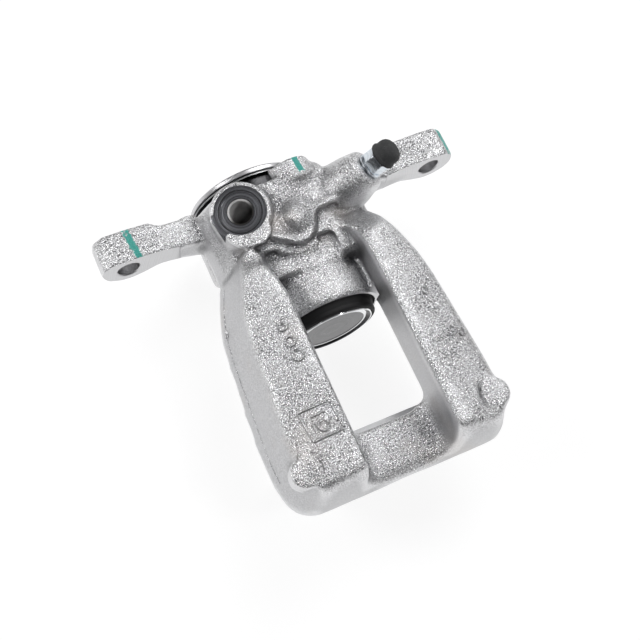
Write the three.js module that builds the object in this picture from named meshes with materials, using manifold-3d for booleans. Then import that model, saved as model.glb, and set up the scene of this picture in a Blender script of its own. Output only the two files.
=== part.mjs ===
// Floating rear brake caliper with a single piston and a parking-brake spindle.
//
// Units are millimetres. The piston axis is the Y axis: the cylinder is towards +Y (inboard)
// and the fingers are towards -Y (outboard). +X runs from the left ear to the right ear and
// +Z points radially out of the wheel, through the bridge. The origin is the centre of the
// piston's dished outboard face.

import * as THREE from 'three';
import { mergeVertices } from 'three/addons/utils/BufferGeometryUtils.js';
import Module from 'manifold-3d';

const wasm = await Module();
wasm.setup();

// ---------------------------------------------------------------- clearances
const SEAT_GAP = 0.3;
const RUN_GAP = 0.1;
const THREAD_GAP = 0.15;
const BALL_GAP = 0.1;

// ------------------------------------------------------ piston and cylinder
const PISTON_RADIUS = 19;
const PISTON_LENGTH = 48;
const PISTON_DISH_DEPTH = 1;
const PISTON_DISH_LEDGE = 4.5;
const PISTON_RIM_WIDTH = 2.2;
const PISTON_CROWN = 6;
const PISTON_SKIRT_WALL = 3.6;
const PISTON_KEY_INSET = 6.8;
const PISTON_TRAVEL = 12;
const BOOT_GROOVE_DEPTH = 0.9;
const BOOT_GROOVE_START = 1.6;
const BOOT_GROOVE_WIDTH = 2.6;
const CYLINDER_FRONT = 4.5;
const CYLINDER_DEPTH = 55.5;
const COLLAR_WALL = 2.2;
const COLLAR_LENGTH = 16;
const BARREL_WALL = 4.9;
const BOOT_POCKET = 3.8;
const MOUTH_DEPTH = 5;
const SEAL_OFFSET = 8;
const SEAL_WIDTH = 3;
const SEAL_SECTION = 2.6;
const BOOT_FOLD = 2.1;

// --------------------------------------------------------- bridge and arms
const WHEEL_AXIS_DROP = 130;
const DISC_CLEARANCE_RADIUS = 143.5;
const BRIDGE_TOP_RADIUS = 167.2;
const BRIDGE_HALF_WIDTH = 53.8;
const BRIDGE_LOW = 4;
const BRIDGE_DRAFT = 0.33;
const BRIDGE_DRAFT_HEIGHT = 40;
const WINDOW_HALF_WIDTH = 19.7;
const WINDOW_CORNER_RADIUS = 4.5;
const THROAT_DEPTH = 48;
const OUTBOARD_THICKNESS = 24;
const CROSS_BAR_TOP = 12;
const FINGER_DROP = 24;
const FINGER_HALF_WIDTH = 39;
const FINGER_GAP_HALF_WIDTH = 11;
const FINGER_TIP_THICKNESS = 13;
const PAD_RADIUS = 6.4;
const PAD_HEIGHT = 1.6;
const PAD_SIDE = 42;
const PAD_SETBACK = 14;

// ---------------------------------------------------------------- pin ears
const PIN_SPACING = 146;
const PIN_HEIGHT = 10.2;
const PIN_HOLE_RADIUS = 5;
const EAR_FACE_SETBACK = 53.7;
const EAR_THICKNESS = 14.8;
const EAR_BOSS_RADIUS = 9.4;
const EAR_TIP_LENGTH = 12;

// ----------------------------------------- parking-brake actuator interface
const BACK_WALL = 8;
const FLANGE_RADIUS = 28;
const FLANGE_OFFSET = -9.5;
const FLANGE_LIP = 4;
const NECK_RADIUS = 25.4;
const RECESS_RADIUS = 23.5;
const RECESS_DEPTH = 5;
const HUB_RADIUS = 9;
const LUG_ANGLE = 54;
const LUG_CIRCLE_RADIUS = 31.6;
const LUG_BOSS_RADIUS = 6.8;
const LUG_HOLE_RADIUS = 2.6;
const LUG_LENGTH = 9.5;
const LONG_LUG_LENGTH = 22;
const LUG_STEP = 4;

// ------------------------------------------------------ fluid connections
const PORT_X = -23.1;
const PORT_SETBACK = 53.5;
const PORT_HEIGHT = 30;
const PORT_LEAN_X = -16.5;
const PORT_LEAN_Y = 8.5;
const PORT_BOSS_RADIUS = 13.6;
const SPOTFACE_RADIUS = 11.5;
const SPOTFACE_DEPTH = 0.6;
const PORT_THREAD_RADIUS = 4.9;
const PORT_MOUTH_RADIUS = 5.7;
const PORT_DEPTH = 12;
const DRILLING_RADIUS = 1.6;
const BLEED_X = 36.2;
const BLEED_SETBACK = 52.3;
const BLEED_HEIGHT = 34;
const BLEED_LEAN = 42;
const BLEED_BOSS_RADIUS = 8.7;
const BLEED_THREAD_RADIUS = 4.9;
const BLEED_THREAD_DEPTH = 13;
const BLEED_HEX_FLATS = 10;
const BLEED_HEX_HEIGHT = 5.6;
const BLEED_FLANGE_RADIUS = 5.9;
const BLEED_FLANGE_HEIGHT = 1.3;
const NIPPLE_RADIUS = 3.4;
const NIPPLE_LENGTH = 6;
const CAP_RADIUS = 5.7;
const CAP_LIP_RADIUS = 6.3;
const CAP_LENGTH = 7.8;
const CAP_LIP_LENGTH = 1.9;
const BOSS_RADIUS = 7.4;
const BOSS_SETBACK = 44.5;
const BOSS_HEIGHT = 30.5;
const BLOCK_HEIGHT = 27.5;

// ------------------------------------------------ spindle, nut and bearing
const SPINDLE_RADIUS = 5;
const SPINDLE_FLANGE_INSET = 0.9;
const SPINDLE_FLANGE_WIDTH = 3;
const SPINDLE_TIP_CLEARANCE = 3;
const DRIVE_RADIUS = 3.9;
const DRIVE_LENGTH = 2.6;
const NUT_GAP = 0.5;
const NUT_LENGTH = 20;
const NUT_TRAVEL = 7.5;
const BALL_RADIUS = 1.6;
const BALL_COUNT = 10;
const BALL_TRACK_OFFSET = 0.7;
const WASHER_WIDTH = 1.4;
const WASHER_BORE = 6.2;
const CAGE_WIDTH = 1.4;
const CAGE_WALL = 1.1;
const BUSH_WALL = 1.2;
const BUSH_LENGTH = 3;
const SHAFT_SEAL_SECTION = 2.2;
const CIRCLIP_WIDTH = 1;
const CIRCLIP_BITE = 0.7;
const CIRCLIP_REACH = 1.9;
const SPACER_WIDTH = 0.8;

// ------------------------------------- radii that follow from the piston's
const BORE_RADIUS = PISTON_RADIUS + RUN_GAP;
const MOUTH_RADIUS = BORE_RADIUS + BOOT_POCKET;
const COLLAR_RADIUS = MOUTH_RADIUS + COLLAR_WALL;
const BARREL_RADIUS = BORE_RADIUS + BARREL_WALL;
const BOOT_FOLD_RADIUS = PISTON_RADIUS + BOOT_FOLD;
const PISTON_DISH_RADIUS = PISTON_RADIUS - PISTON_DISH_LEDGE;
const PISTON_KEY_FLAT = PISTON_RADIUS - PISTON_KEY_INSET;
const NUT_RADIUS = PISTON_RADIUS - PISTON_SKIRT_WALL - NUT_GAP;
const SPINDLE_FLANGE_RADIUS = NUT_RADIUS - SPINDLE_FLANGE_INSET;
const BALL_CIRCLE_RADIUS = (WASHER_BORE + SPINDLE_FLANGE_RADIUS) / 2 + BALL_TRACK_OFFSET;

// ------------------------------------------------------ positions along Y
const NOSE_Y = -PISTON_DISH_DEPTH;
const SKIRT_Y = NOSE_Y + PISTON_LENGTH;
const FINGER_FACE_Y = NOSE_Y - THROAT_DEPTH;
const OUTBOARD_Y = FINGER_FACE_Y - OUTBOARD_THICKNESS;
const BORE_END_Y = CYLINDER_FRONT + CYLINDER_DEPTH;
const HUB_Y = BORE_END_Y + BACK_WALL;
const FLANGE_Y = HUB_Y + RECESS_DEPTH;
const SEAL_Y = CYLINDER_FRONT + SEAL_OFFSET;
const CREASE_Y = CYLINDER_FRONT + COLLAR_LENGTH;
const PIN_X = PIN_SPACING / 2;
const SPINDLE_TIP_Y = PISTON_CROWN + SPINDLE_TIP_CLEARANCE;
const NUT_Y = PISTON_CROWN + 2 * SEAT_GAP + NUT_TRAVEL;
const REAR_WASHER_Y = BORE_END_Y - SEAT_GAP - WASHER_WIDTH;
const BALL_Y = REAR_WASHER_Y - BALL_GAP - BALL_RADIUS;
const FRONT_WASHER_Y = BALL_Y - BALL_RADIUS - BALL_GAP - WASHER_WIDTH;
const SPINDLE_FLANGE_Y = FRONT_WASHER_Y - SEAT_GAP - SPINDLE_FLANGE_WIDTH;
const SPACER_Y = HUB_Y + SEAT_GAP;
const CIRCLIP_Y = SPACER_Y + SPACER_WIDTH + SEAT_GAP;
const DRIVE_Y = CIRCLIP_Y + CIRCLIP_WIDTH + SEAT_GAP;
const BUSH_RADIUS = SPINDLE_RADIUS + RUN_GAP + BUSH_WALL;
const BUSH_Y = HUB_Y - SEAT_GAP - BUSH_LENGTH;
const SHAFT_SEAL_Y = BORE_END_Y + 1.2;

// ----------------------------------------------------------------- finishes
const finish = (color, roughness, metalness) =>
  new THREE.MeshStandardMaterial({ color, roughness, metalness });
const castAluminium = finish(0xc9c9cb, 0.55, 0.85);
const chromedSteel = finish(0xd8dadd, 0.12, 1.0);
const blackRubber = finish(0x1b1b1c, 0.7, 0.0);
const bearingSteel = finish(0x9fa2a6, 0.25, 1.0);
const turnedSteel = finish(0x84878b, 0.35, 1.0);
const zincSteel = finish(0xb4bcc4, 0.3, 1.0);
const bronze = finish(0xb08a50, 0.4, 1.0);
const cageNylon = finish(0x4a4438, 0.6, 0.0);

// ------------------------------------------------------------ solid helpers

// Turns a closed geometry into a solid whose faces point outwards.
function toSolid(geometry) {
  const bare = geometry.clone();
  bare.deleteAttribute('normal');
  bare.deleteAttribute('uv');
  const merged = mergeVertices(bare, 1e-4);
  const position = merged.attributes.position.array;
  const index = merged.index.array;
  const corner = (i) => new THREE.Vector3().fromArray(position, 3 * i);
  const triangles = [];
  let volume = 0;
  for (let i = 0; i < index.length; i += 3) {
    const [a, b, c] = [index[i], index[i + 1], index[i + 2]];
    if (a === b || b === c || c === a) continue;
    triangles.push([a, b, c]);
    volume += corner(a).dot(corner(b).cross(corner(c)));
  }
  const facing = volume > 0 ? triangles : triangles.map(([a, b, c]) => [a, c, b]);
  return new wasm.Manifold(new wasm.Mesh({
    numProp: 3,
    vertProperties: Float32Array.from(position),
    triVerts: Uint32Array.from(facing.flat()),
  }));
}

// A named mesh from a finished solid.
function meshOf(name, solid, material) {
  const { vertProperties, triVerts, numProp } = solid.getMesh();
  const position = new Float32Array((vertProperties.length / numProp) * 3);
  for (let i = 0; i < position.length / 3; i += 1) {
    position.set(vertProperties.subarray(i * numProp, i * numProp + 3), 3 * i);
  }
  const geometry = new THREE.BufferGeometry();
  geometry.setAttribute('position', new THREE.BufferAttribute(position, 3));
  geometry.setIndex(Array.from(triVerts));
  geometry.computeVertexNormals();
  const mesh = new THREE.Mesh(geometry, material);
  mesh.name = name;
  return mesh;
}

const join = (first, ...rest) => rest.reduce((sum, solid) => sum.add(solid), first);
const cut = (first, ...rest) => rest.reduce((left, solid) => left.subtract(solid), first);

// A turned solid about the Y axis; the profile is a list of [radius, y].
function turned(profile, segments = 40, x = 0, z = 0) {
  const points = profile.map(([radius, y]) => new THREE.Vector2(radius, y));
  return toSolid(new THREE.LatheGeometry(points, segments).translate(x, 0, z));
}

const drum = (radius, y0, y1, segments = 40, x = 0, z = 0) =>
  turned([[0, y0], [radius, y0], [radius, y1], [0, y1]], segments, x, z);

const ring = (inner, outer, y0, y1, segments = 40) =>
  turned([[inner, y0], [outer, y0], [outer, y1], [inner, y1], [inner, y0]], segments);

function block(x0, x1, y0, y1, z0, z1) {
  const geometry = new THREE.BoxGeometry(x1 - x0, y1 - y0, z1 - z0);
  return toSolid(geometry.translate((x0 + x1) / 2, (y0 + y1) / 2, (z0 + z1) / 2));
}

const outline = (points) => new THREE.Shape(points.map(([a, b]) => new THREE.Vector2(a, b)));

const slab = (shape, depth, curveSegments) =>
  new THREE.ExtrudeGeometry(shape, { depth, bevelEnabled: false, curveSegments });

// Prisms of an outline drawn in XY, XZ or YZ, between two positions on the third axis.
const prismZ = (shape, z0, z1, curveSegments = 8) =>
  toSolid(slab(shape, z1 - z0, curveSegments).translate(0, 0, z0));

const prismY = (shape, y0, y1, curveSegments = 8) =>
  toSolid(slab(shape, y1 - y0, curveSegments).rotateX(Math.PI / 2).translate(0, y1, 0));

function prismX(shape, x0, x1, curveSegments = 8) {
  const turn = new THREE.Matrix4().set(0, 0, 1, x0, 1, 0, 0, 0, 0, 1, 0, 0, 0, 0, 0, 1);
  return toSolid(slab(shape, x1 - x0, curveSegments).applyMatrix4(turn));
}

// A turned solid whose profile is [radius, distance along the axis] from a point outwards.
function turnedAlong(profile, origin, direction, segments = 28) {
  const points = profile.map(([radius, along]) => new THREE.Vector2(radius, along));
  const geometry = new THREE.LatheGeometry(points, segments);
  return toSolid(placeAlong(geometry, origin, direction));
}

function placeAlong(geometry, origin, direction) {
  const up = new THREE.Vector3(0, 1, 0);
  geometry.applyQuaternion(new THREE.Quaternion().setFromUnitVectors(up, direction));
  return geometry.translate(origin.x, origin.y, origin.z);
}

const rod = (radius, origin, direction, from, to, segments = 28) =>
  turnedAlong([[0, from], [radius, from], [radius, to], [0, to]], origin, direction, segments);

// ------------------------------------------------- axes of the two fittings
const radians = THREE.MathUtils.degToRad;
const portOrigin = new THREE.Vector3(PORT_X, PORT_SETBACK, PORT_HEIGHT);
const portAxis = new THREE.Vector3(
  Math.sin(radians(PORT_LEAN_X)), -Math.sin(radians(PORT_LEAN_Y)), 1,
).normalize();
const bleedOrigin = new THREE.Vector3(BLEED_X, BLEED_SETBACK, BLEED_HEIGHT);
const bleedAxis = new THREE.Vector3(
  Math.sin(radians(BLEED_LEAN)), 0, Math.cos(radians(BLEED_LEAN)),
);

// The bridge block: its plan tapered inwards with height, trimmed to its side view and crown.
function bridgeBlock() {
  const w = BRIDGE_HALF_WIDTH;
  const corner = 12;
  const right = [
    [w - 23.8, 46], [w - 17, 38], [w - 11.6, 29.5], [w - 8, 20.5], [w - 5, 11],
    [w - 3.2, 0], [w - 2.2, -14], [w - 1, -30], [w, -46], [w - 0.6, OUTBOARD_Y + corner + 3],
  ];
  for (let i = 1; i <= 4; i += 1) {
    const turn = (i / 4) * (Math.PI / 2);
    right.push([
      w - 1.5 - corner * (1 - Math.cos(turn)), OUTBOARD_Y + corner * (1 - Math.sin(turn)),
    ]);
  }
  const left = right.map(([x, y]) => [-x, y]).reverse();
  const plan = slab(outline([...right, ...left]), BRIDGE_DRAFT_HEIGHT, 1)
    .translate(0, 0, BRIDGE_LOW);
  const { position } = plan.attributes;
  for (let i = 0; i < position.count; i += 1) {
    const rise = Math.max(0, position.getZ(i) - BRIDGE_LOW);
    position.setX(i, position.getX(i) - Math.sign(position.getX(i)) * BRIDGE_DRAFT * rise);
  }
  const side = outline([
    [45.9, BRIDGE_LOW], [45.9, 17], [40, 24], [34, 28.6], [27, 33.5], [20, 37], [15, 43],
    [OUTBOARD_Y + 9, 43], [OUTBOARD_Y + 5, 33], [OUTBOARD_Y + 2.4, 28],
    [OUTBOARD_Y + 0.8, 20], [OUTBOARD_Y + 0.1, 11], [OUTBOARD_Y + 0.1, BRIDGE_LOW],
  ]);
  const reach = w + 2;
  const crown = drum(BRIDGE_TOP_RADIUS, OUTBOARD_Y - 1, 47, 180, 0, -WHEEL_AXIS_DROP);
  return toSolid(plan).intersect(prismX(side, -reach, reach)).intersect(crown);
}

// The two fingers that carry the outboard pad, with the gap between them.
function fingers() {
  const tip = FINGER_FACE_Y - FINGER_TIP_THICKNESS;
  const side = outline([
    [FINGER_FACE_Y, BRIDGE_LOW + 9], [FINGER_FACE_Y, 2 - FINGER_DROP],
    [FINGER_FACE_Y - 2, -FINGER_DROP], [tip + 3, -FINGER_DROP], [tip, 4 - FINGER_DROP],
    [OUTBOARD_Y + 4, -7], [OUTBOARD_Y + 1, 0], [OUTBOARD_Y, BRIDGE_LOW + 1],
    [OUTBOARD_Y, BRIDGE_LOW + 9],
  ]);
  const w = FINGER_HALF_WIDTH;
  const g = FINGER_GAP_HALF_WIDTH;
  const front = new THREE.Shape();
  front.moveTo(-w - 4, BRIDGE_LOW + 8);
  front.lineTo(-w - 3, BRIDGE_LOW);
  front.lineTo(-w + 4, 6 - FINGER_DROP);
  front.quadraticCurveTo(-w + 5, -FINGER_DROP, -w + 11, -FINGER_DROP);
  front.lineTo(-g - 5, -FINGER_DROP);
  front.quadraticCurveTo(-g, -FINGER_DROP, -g, 5 - FINGER_DROP);
  front.lineTo(-g, -7);
  front.absarc(0, -7, g, Math.PI, 0, true);
  front.lineTo(g, 5 - FINGER_DROP);
  front.quadraticCurveTo(g, -FINGER_DROP, g + 5, -FINGER_DROP);
  front.lineTo(w - 11, -FINGER_DROP);
  front.quadraticCurveTo(w - 5, -FINGER_DROP, w - 4, 6 - FINGER_DROP);
  front.lineTo(w + 3, BRIDGE_LOW);
  front.lineTo(w + 4, BRIDGE_LOW + 8);
  const reach = w + 6;
  return prismX(side, -reach, reach)
    .intersect(prismY(front, OUTBOARD_Y - 1, FINGER_FACE_Y + 1, 6));
}

// The bridge opening above the piston and the recess over the cross bar.
function bridgeWindow() {
  const w = WINDOW_HALF_WIDTH;
  const r = WINDOW_CORNER_RADIUS;
  const hole = new THREE.Shape();
  hole.moveTo(-w, 12);
  hole.lineTo(-w, FINGER_FACE_Y + r);
  hole.quadraticCurveTo(-w, FINGER_FACE_Y, -w + r, FINGER_FACE_Y);
  hole.lineTo(w - r, FINGER_FACE_Y);
  hole.quadraticCurveTo(w, FINGER_FACE_Y, w, FINGER_FACE_Y + r);
  hole.lineTo(w, 12);
  hole.lineTo(w - 1, 26);
  hole.quadraticCurveTo(w - 2, 34, w - 9, 38);
  hole.lineTo(-w + 4, 38);
  hole.quadraticCurveTo(-w - 4, 34, -w - 3, 26);
  const recess = prismX(outline([
    [FINGER_FACE_Y + 8, CROSS_BAR_TOP], [FINGER_FACE_Y + 8, 60], [OUTBOARD_Y - 3, 60],
    [OUTBOARD_Y - 3, CROSS_BAR_TOP - 5], [OUTBOARD_Y + 0.6, CROSS_BAR_TOP - 3],
    [OUTBOARD_Y + 4, CROSS_BAR_TOP],
  ]), -w, w);
  return join(prismZ(hole, -2, 60, 5), recess);
}

// The cylinder: front collar, barrel and the block between the arms.
function cylinderBody() {
  const barrel = turned([
    [0, CYLINDER_FRONT], [COLLAR_RADIUS - 1.2, CYLINDER_FRONT],
    [COLLAR_RADIUS, CYLINDER_FRONT + 1.2], [COLLAR_RADIUS, CREASE_Y - 2],
    [BARREL_RADIUS, CREASE_Y], [BARREL_RADIUS + 1, BORE_END_Y - 4],
    [NECK_RADIUS - 2, HUB_Y - 2], [0, HUB_Y - 2],
  ], 56);
  const section = outline([
    [-38, -2], [-39.5, 6], [-38, 16], [-33, BLOCK_HEIGHT - 3], [-26, BLOCK_HEIGHT],
    [12, BLOCK_HEIGHT], [22, BLOCK_HEIGHT - 4], [33, 17], [37, 8], [36, -2],
    [24, -12], [-24, -12],
  ]);
  const belowArms = block(-45, 45, CREASE_Y, CREASE_Y + 29, -20, 3);
  const behindBleeder = block(15, 45, HUB_Y - 6.5, HUB_Y, 6, 40);
  const rear = cut(prismY(section, CREASE_Y + 14, HUB_Y - 3), belowArms, behindBleeder);
  const saddleSection = outline([
    [-32, 0], [-34, 12], [-26, 26], [-16, BLOCK_HEIGHT - 0.5], [12, BLOCK_HEIGHT - 0.5],
    [24, 22], [32, 10], [32, 0],
  ]);
  const saddle = prismY(saddleSection, CREASE_Y + 2, CREASE_Y + 16);
  return join(barrel, rear, saddle);
}

// One pin ear on the side given by its sign.
function ear(side) {
  const tip = PIN_X + EAR_TIP_LENGTH;
  const top = PIN_HEIGHT + EAR_BOSS_RADIUS - 0.6;
  const low = PIN_HEIGHT - EAR_BOSS_RADIUS;
  const points = [
    [30, top - 10], [44, top - 4.6], [PIN_X - 16, top - 0.6], [PIN_X - 6, top], [tip - 5, top],
    [tip - 0.6, PIN_HEIGHT + 5], [tip, PIN_HEIGHT - 1], [tip - 2.4, PIN_HEIGHT - 5.5],
    [PIN_X + 4.5, low + 0.9], [PIN_X - 1, low], [PIN_X - 6, low + 1.4],
    [PIN_X - 13, low + 4.6], [PIN_X - 20, low + 3.6], [PIN_X - 29, low - 0.6], [30, low - 4],
  ];
  const plate = prismY(
    outline(points.map(([x, z]) => [side * x, z])),
    EAR_FACE_SETBACK, EAR_FACE_SETBACK + EAR_THICKNESS,
  );
  const waist = outline([
    [side * (PIN_X - 13), EAR_FACE_SETBACK + EAR_THICKNESS + 1],
    [side * (PIN_X - 17), EAR_FACE_SETBACK + EAR_THICKNESS - 2.6],
    [side * (PIN_X - 27), EAR_FACE_SETBACK + EAR_THICKNESS - 1.6],
    [side * (PIN_X - 34), EAR_FACE_SETBACK + EAR_THICKNESS + 1],
  ]);
  const hole = drum(PIN_HOLE_RADIUS, EAR_FACE_SETBACK - 1, EAR_FACE_SETBACK + EAR_THICKNESS + 1,
    32, side * PIN_X, PIN_HEIGHT);
  return { plate: cut(plate, prismZ(waist, -20, 40)), hole };
}

// The flange that the parking-brake actuator seats on, with its two screw lugs.
function actuatorFlange() {
  const disc = turned([
    [0, BORE_END_Y - 6], [NECK_RADIUS - 3, BORE_END_Y - 6], [NECK_RADIUS, BORE_END_Y - 1],
    [NECK_RADIUS, FLANGE_Y - FLANGE_LIP], [FLANGE_RADIUS, FLANGE_Y - FLANGE_LIP + 0.6],
    [FLANGE_RADIUS, FLANGE_Y - 0.8], [FLANGE_RADIUS - 0.8, FLANGE_Y], [0, FLANGE_Y],
  ], 64, FLANGE_OFFSET);
  const recess = turned([
    [0, HUB_Y], [RECESS_RADIUS - 1, HUB_Y], [RECESS_RADIUS, HUB_Y + 1],
    [RECESS_RADIUS, FLANGE_Y - 1], [RECESS_RADIUS + 1, FLANGE_Y + 0.1], [0, FLANGE_Y + 0.1],
  ], 56, FLANGE_OFFSET);
  return { disc, recess };
}

function lugAt(turn, length) {
  const x = FLANGE_OFFSET + LUG_CIRCLE_RADIUS * Math.cos(radians(turn));
  const z = LUG_CIRCLE_RADIUS * Math.sin(radians(turn));
  const back = FLANGE_Y - LUG_STEP;
  const boss = drum(LUG_BOSS_RADIUS, back - length, back, 28, x, z);
  const web = block(-LUG_BOSS_RADIUS, LUG_BOSS_RADIUS, back - length, back, -LUG_CIRCLE_RADIUS + 6, 0);
  const turnedWeb = web.rotate([0, 90 - turn, 0]).translate([x, 0, z]);
  const hole = drum(LUG_HOLE_RADIUS, back - length - 1, back + 1, 20, x, z);
  return { body: join(boss, turnedWeb), hole };
}

// The hose-port boss with its machined seat, and the cast ledge in front of it.
function portBoss() {
  const boss = rod(PORT_BOSS_RADIUS, portOrigin, portAxis, -24, SPOTFACE_DEPTH, 36);
  const ledge = prismZ(outline([
    [-34, 46], [-33, 42], [-30, 38], [-27, 36.4], [-19, 37], [-15, 40], [-13.4, 45], [-13.4, 52],
    [-33, 52],
  ]), 18, PORT_HEIGHT + 3.2);
  const seat = turnedAlong([
    [0, 0], [SPOTFACE_RADIUS, 0], [SPOTFACE_RADIUS, 14], [0, 14],
  ], portOrigin, portAxis, 40);
  const trim = block(-45, -6, PORT_SETBACK - 9.6, PORT_SETBACK + 14, PORT_HEIGHT + 3, 60);
  const thread = turnedAlong([
    [0, -PORT_DEPTH - 2], [PORT_THREAD_RADIUS, -PORT_DEPTH], [PORT_THREAD_RADIUS, -1.2],
    [PORT_MOUTH_RADIUS, 0], [PORT_MOUTH_RADIUS, 1], [0, 1],
  ], portOrigin, portAxis, 32);
  const drilling = rod(DRILLING_RADIUS, portOrigin, portAxis, -30, -PORT_DEPTH, 12);
  return { body: join(boss, ledge), cuts: [seat, trim, thread, drilling] };
}

function bleedBoss() {
  const body = rod(BLEED_BOSS_RADIUS, bleedOrigin, bleedAxis, -28, 0, 36);
  const thread = turnedAlong([
    [0, -BLEED_THREAD_DEPTH - 2.5], [BLEED_THREAD_RADIUS, -BLEED_THREAD_DEPTH],
    [BLEED_THREAD_RADIUS, 1], [0, 1],
  ], bleedOrigin, bleedAxis, 28);
  const drilling = rod(DRILLING_RADIUS, bleedOrigin, bleedAxis, -33, -BLEED_THREAD_DEPTH, 12);
  return { body, cuts: [thread, drilling] };
}

// The round pads on the outboard corners of the arms.
function cornerPads() {
  const height = Math.sqrt(BRIDGE_TOP_RADIUS ** 2 - PAD_SIDE ** 2) - WHEEL_AXIS_DROP + PAD_HEIGHT;
  const up = new THREE.Vector3(0, 0, 1);
  return [-1, 1].map((side) => {
    const centre = new THREE.Vector3(side * PAD_SIDE, OUTBOARD_Y + PAD_SETBACK, height);
    return rod(PAD_RADIUS, centre, up, -10, 0, 24);
  });
}

// Everything that is bored out along the piston axis.
function boreCuts() {
  return turned([
    [0, CYLINDER_FRONT - 1], [MOUTH_RADIUS, CYLINDER_FRONT - 1],
    [MOUTH_RADIUS, CYLINDER_FRONT + MOUTH_DEPTH], [BORE_RADIUS, CYLINDER_FRONT + MOUTH_DEPTH],
    [BORE_RADIUS, SEAL_Y], [BORE_RADIUS + SEAL_SECTION + SEAT_GAP, SEAL_Y],
    [BORE_RADIUS + SEAL_SECTION + SEAT_GAP, SEAL_Y + SEAL_WIDTH + 2 * SEAT_GAP],
    [BORE_RADIUS, SEAL_Y + SEAL_WIDTH + 2 * SEAT_GAP], [BORE_RADIUS, BORE_END_Y],
    [SPINDLE_RADIUS + SEAT_GAP, BORE_END_Y], [SPINDLE_RADIUS + SEAT_GAP, SHAFT_SEAL_Y],
    [BUSH_RADIUS + SEAT_GAP + 1, SHAFT_SEAL_Y],
    [BUSH_RADIUS + SEAT_GAP + 1, SHAFT_SEAL_Y + SHAFT_SEAL_SECTION + 2 * SEAT_GAP],
    [BUSH_RADIUS + SEAT_GAP, SHAFT_SEAL_Y + SHAFT_SEAL_SECTION + 2 * SEAT_GAP],
    [BUSH_RADIUS + SEAT_GAP, HUB_Y + 1], [0, HUB_Y + 1],
  ], 48);
}

function buildHousing() {
  const leftEar = ear(-1);
  const rightEar = ear(1);
  const flange = actuatorFlange();
  const upperLug = lugAt(LUG_ANGLE, LUG_LENGTH);
  const lowerLug = lugAt(LUG_ANGLE + 180, LONG_LUG_LENGTH);
  const port = portBoss();
  const bleed = bleedBoss();
  const discSpace = drum(DISC_CLEARANCE_RADIUS, FINGER_FACE_Y, CYLINDER_FRONT - 1,
    180, 0, -WHEEL_AXIS_DROP);
  const bridge = join(bridgeBlock(), fingers(), ...cornerPads());
  const openBridge = cut(bridge, bridgeWindow(), discSpace);
  const centreBoss = drum(BOSS_RADIUS, 0, BOSS_HEIGHT, 28).rotate([90, 0, 0])
    .translate([0, BOSS_SETBACK, 0]);
  const body = join(openBridge, cylinderBody(), flange.disc, leftEar.plate, rightEar.plate,
    upperLug.body, lowerLug.body, port.body, bleed.body, centreBoss);
  return cut(body, boreCuts(), flange.recess, leftEar.hole, rightEar.hole, upperLug.hole,
    lowerLug.hole, ...port.cuts, ...bleed.cuts);
}

// The chromed piston: closed outboard end, keyed hollow skirt for the nut.
function buildPiston() {
  const grooveEnd = BOOT_GROOVE_START + BOOT_GROOVE_WIDTH;
  const outside = turned([
    [0, 0], [PISTON_DISH_RADIUS, 0], [PISTON_RADIUS - PISTON_RIM_WIDTH, NOSE_Y],
    [PISTON_RADIUS - 0.5, NOSE_Y], [PISTON_RADIUS, NOSE_Y + 0.5],
    [PISTON_RADIUS, BOOT_GROOVE_START], [PISTON_RADIUS - BOOT_GROOVE_DEPTH, BOOT_GROOVE_START + 0.4],
    [PISTON_RADIUS - BOOT_GROOVE_DEPTH, grooveEnd - 0.4], [PISTON_RADIUS, grooveEnd],
    [PISTON_RADIUS, SKIRT_Y - 1], [PISTON_RADIUS - 1, SKIRT_Y], [0, SKIRT_Y],
  ], 48);
  const round = drum(PISTON_RADIUS - PISTON_SKIRT_WALL, PISTON_CROWN, SKIRT_Y + 1, 48);
  const keyed = block(-PISTON_RADIUS, PISTON_RADIUS, PISTON_CROWN, SKIRT_Y + 1,
    -PISTON_KEY_FLAT, PISTON_KEY_FLAT);
  return cut(outside, round.intersect(keyed));
}

// The convoluted dust boot between the cylinder mouth and the piston nose.
function buildBoot() {
  const inner = PISTON_RADIUS + RUN_GAP;
  const bead = MOUTH_RADIUS - SEAT_GAP;
  const fold = BOOT_FOLD_RADIUS;
  const back = CYLINDER_FRONT + MOUTH_DEPTH - SEAT_GAP;
  return turned([
    [inner, -0.4], [fold - 0.9, -0.4], [fold, 0.3], [fold - 0.2, 1.3], [fold - 1, 1.9],
    [fold - 0.1, 2.5], [fold + 0.3, 3.6], [fold + 0.2, 4.6], [bead, 5.2], [bead, back],
    [inner, back], [inner, -0.4],
  ], 48);
}

const buildSeal = () => ring(BORE_RADIUS, BORE_RADIUS + SEAL_SECTION,
  SEAL_Y + SEAT_GAP, SEAL_Y + SEAT_GAP + SEAL_WIDTH, 48);

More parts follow.
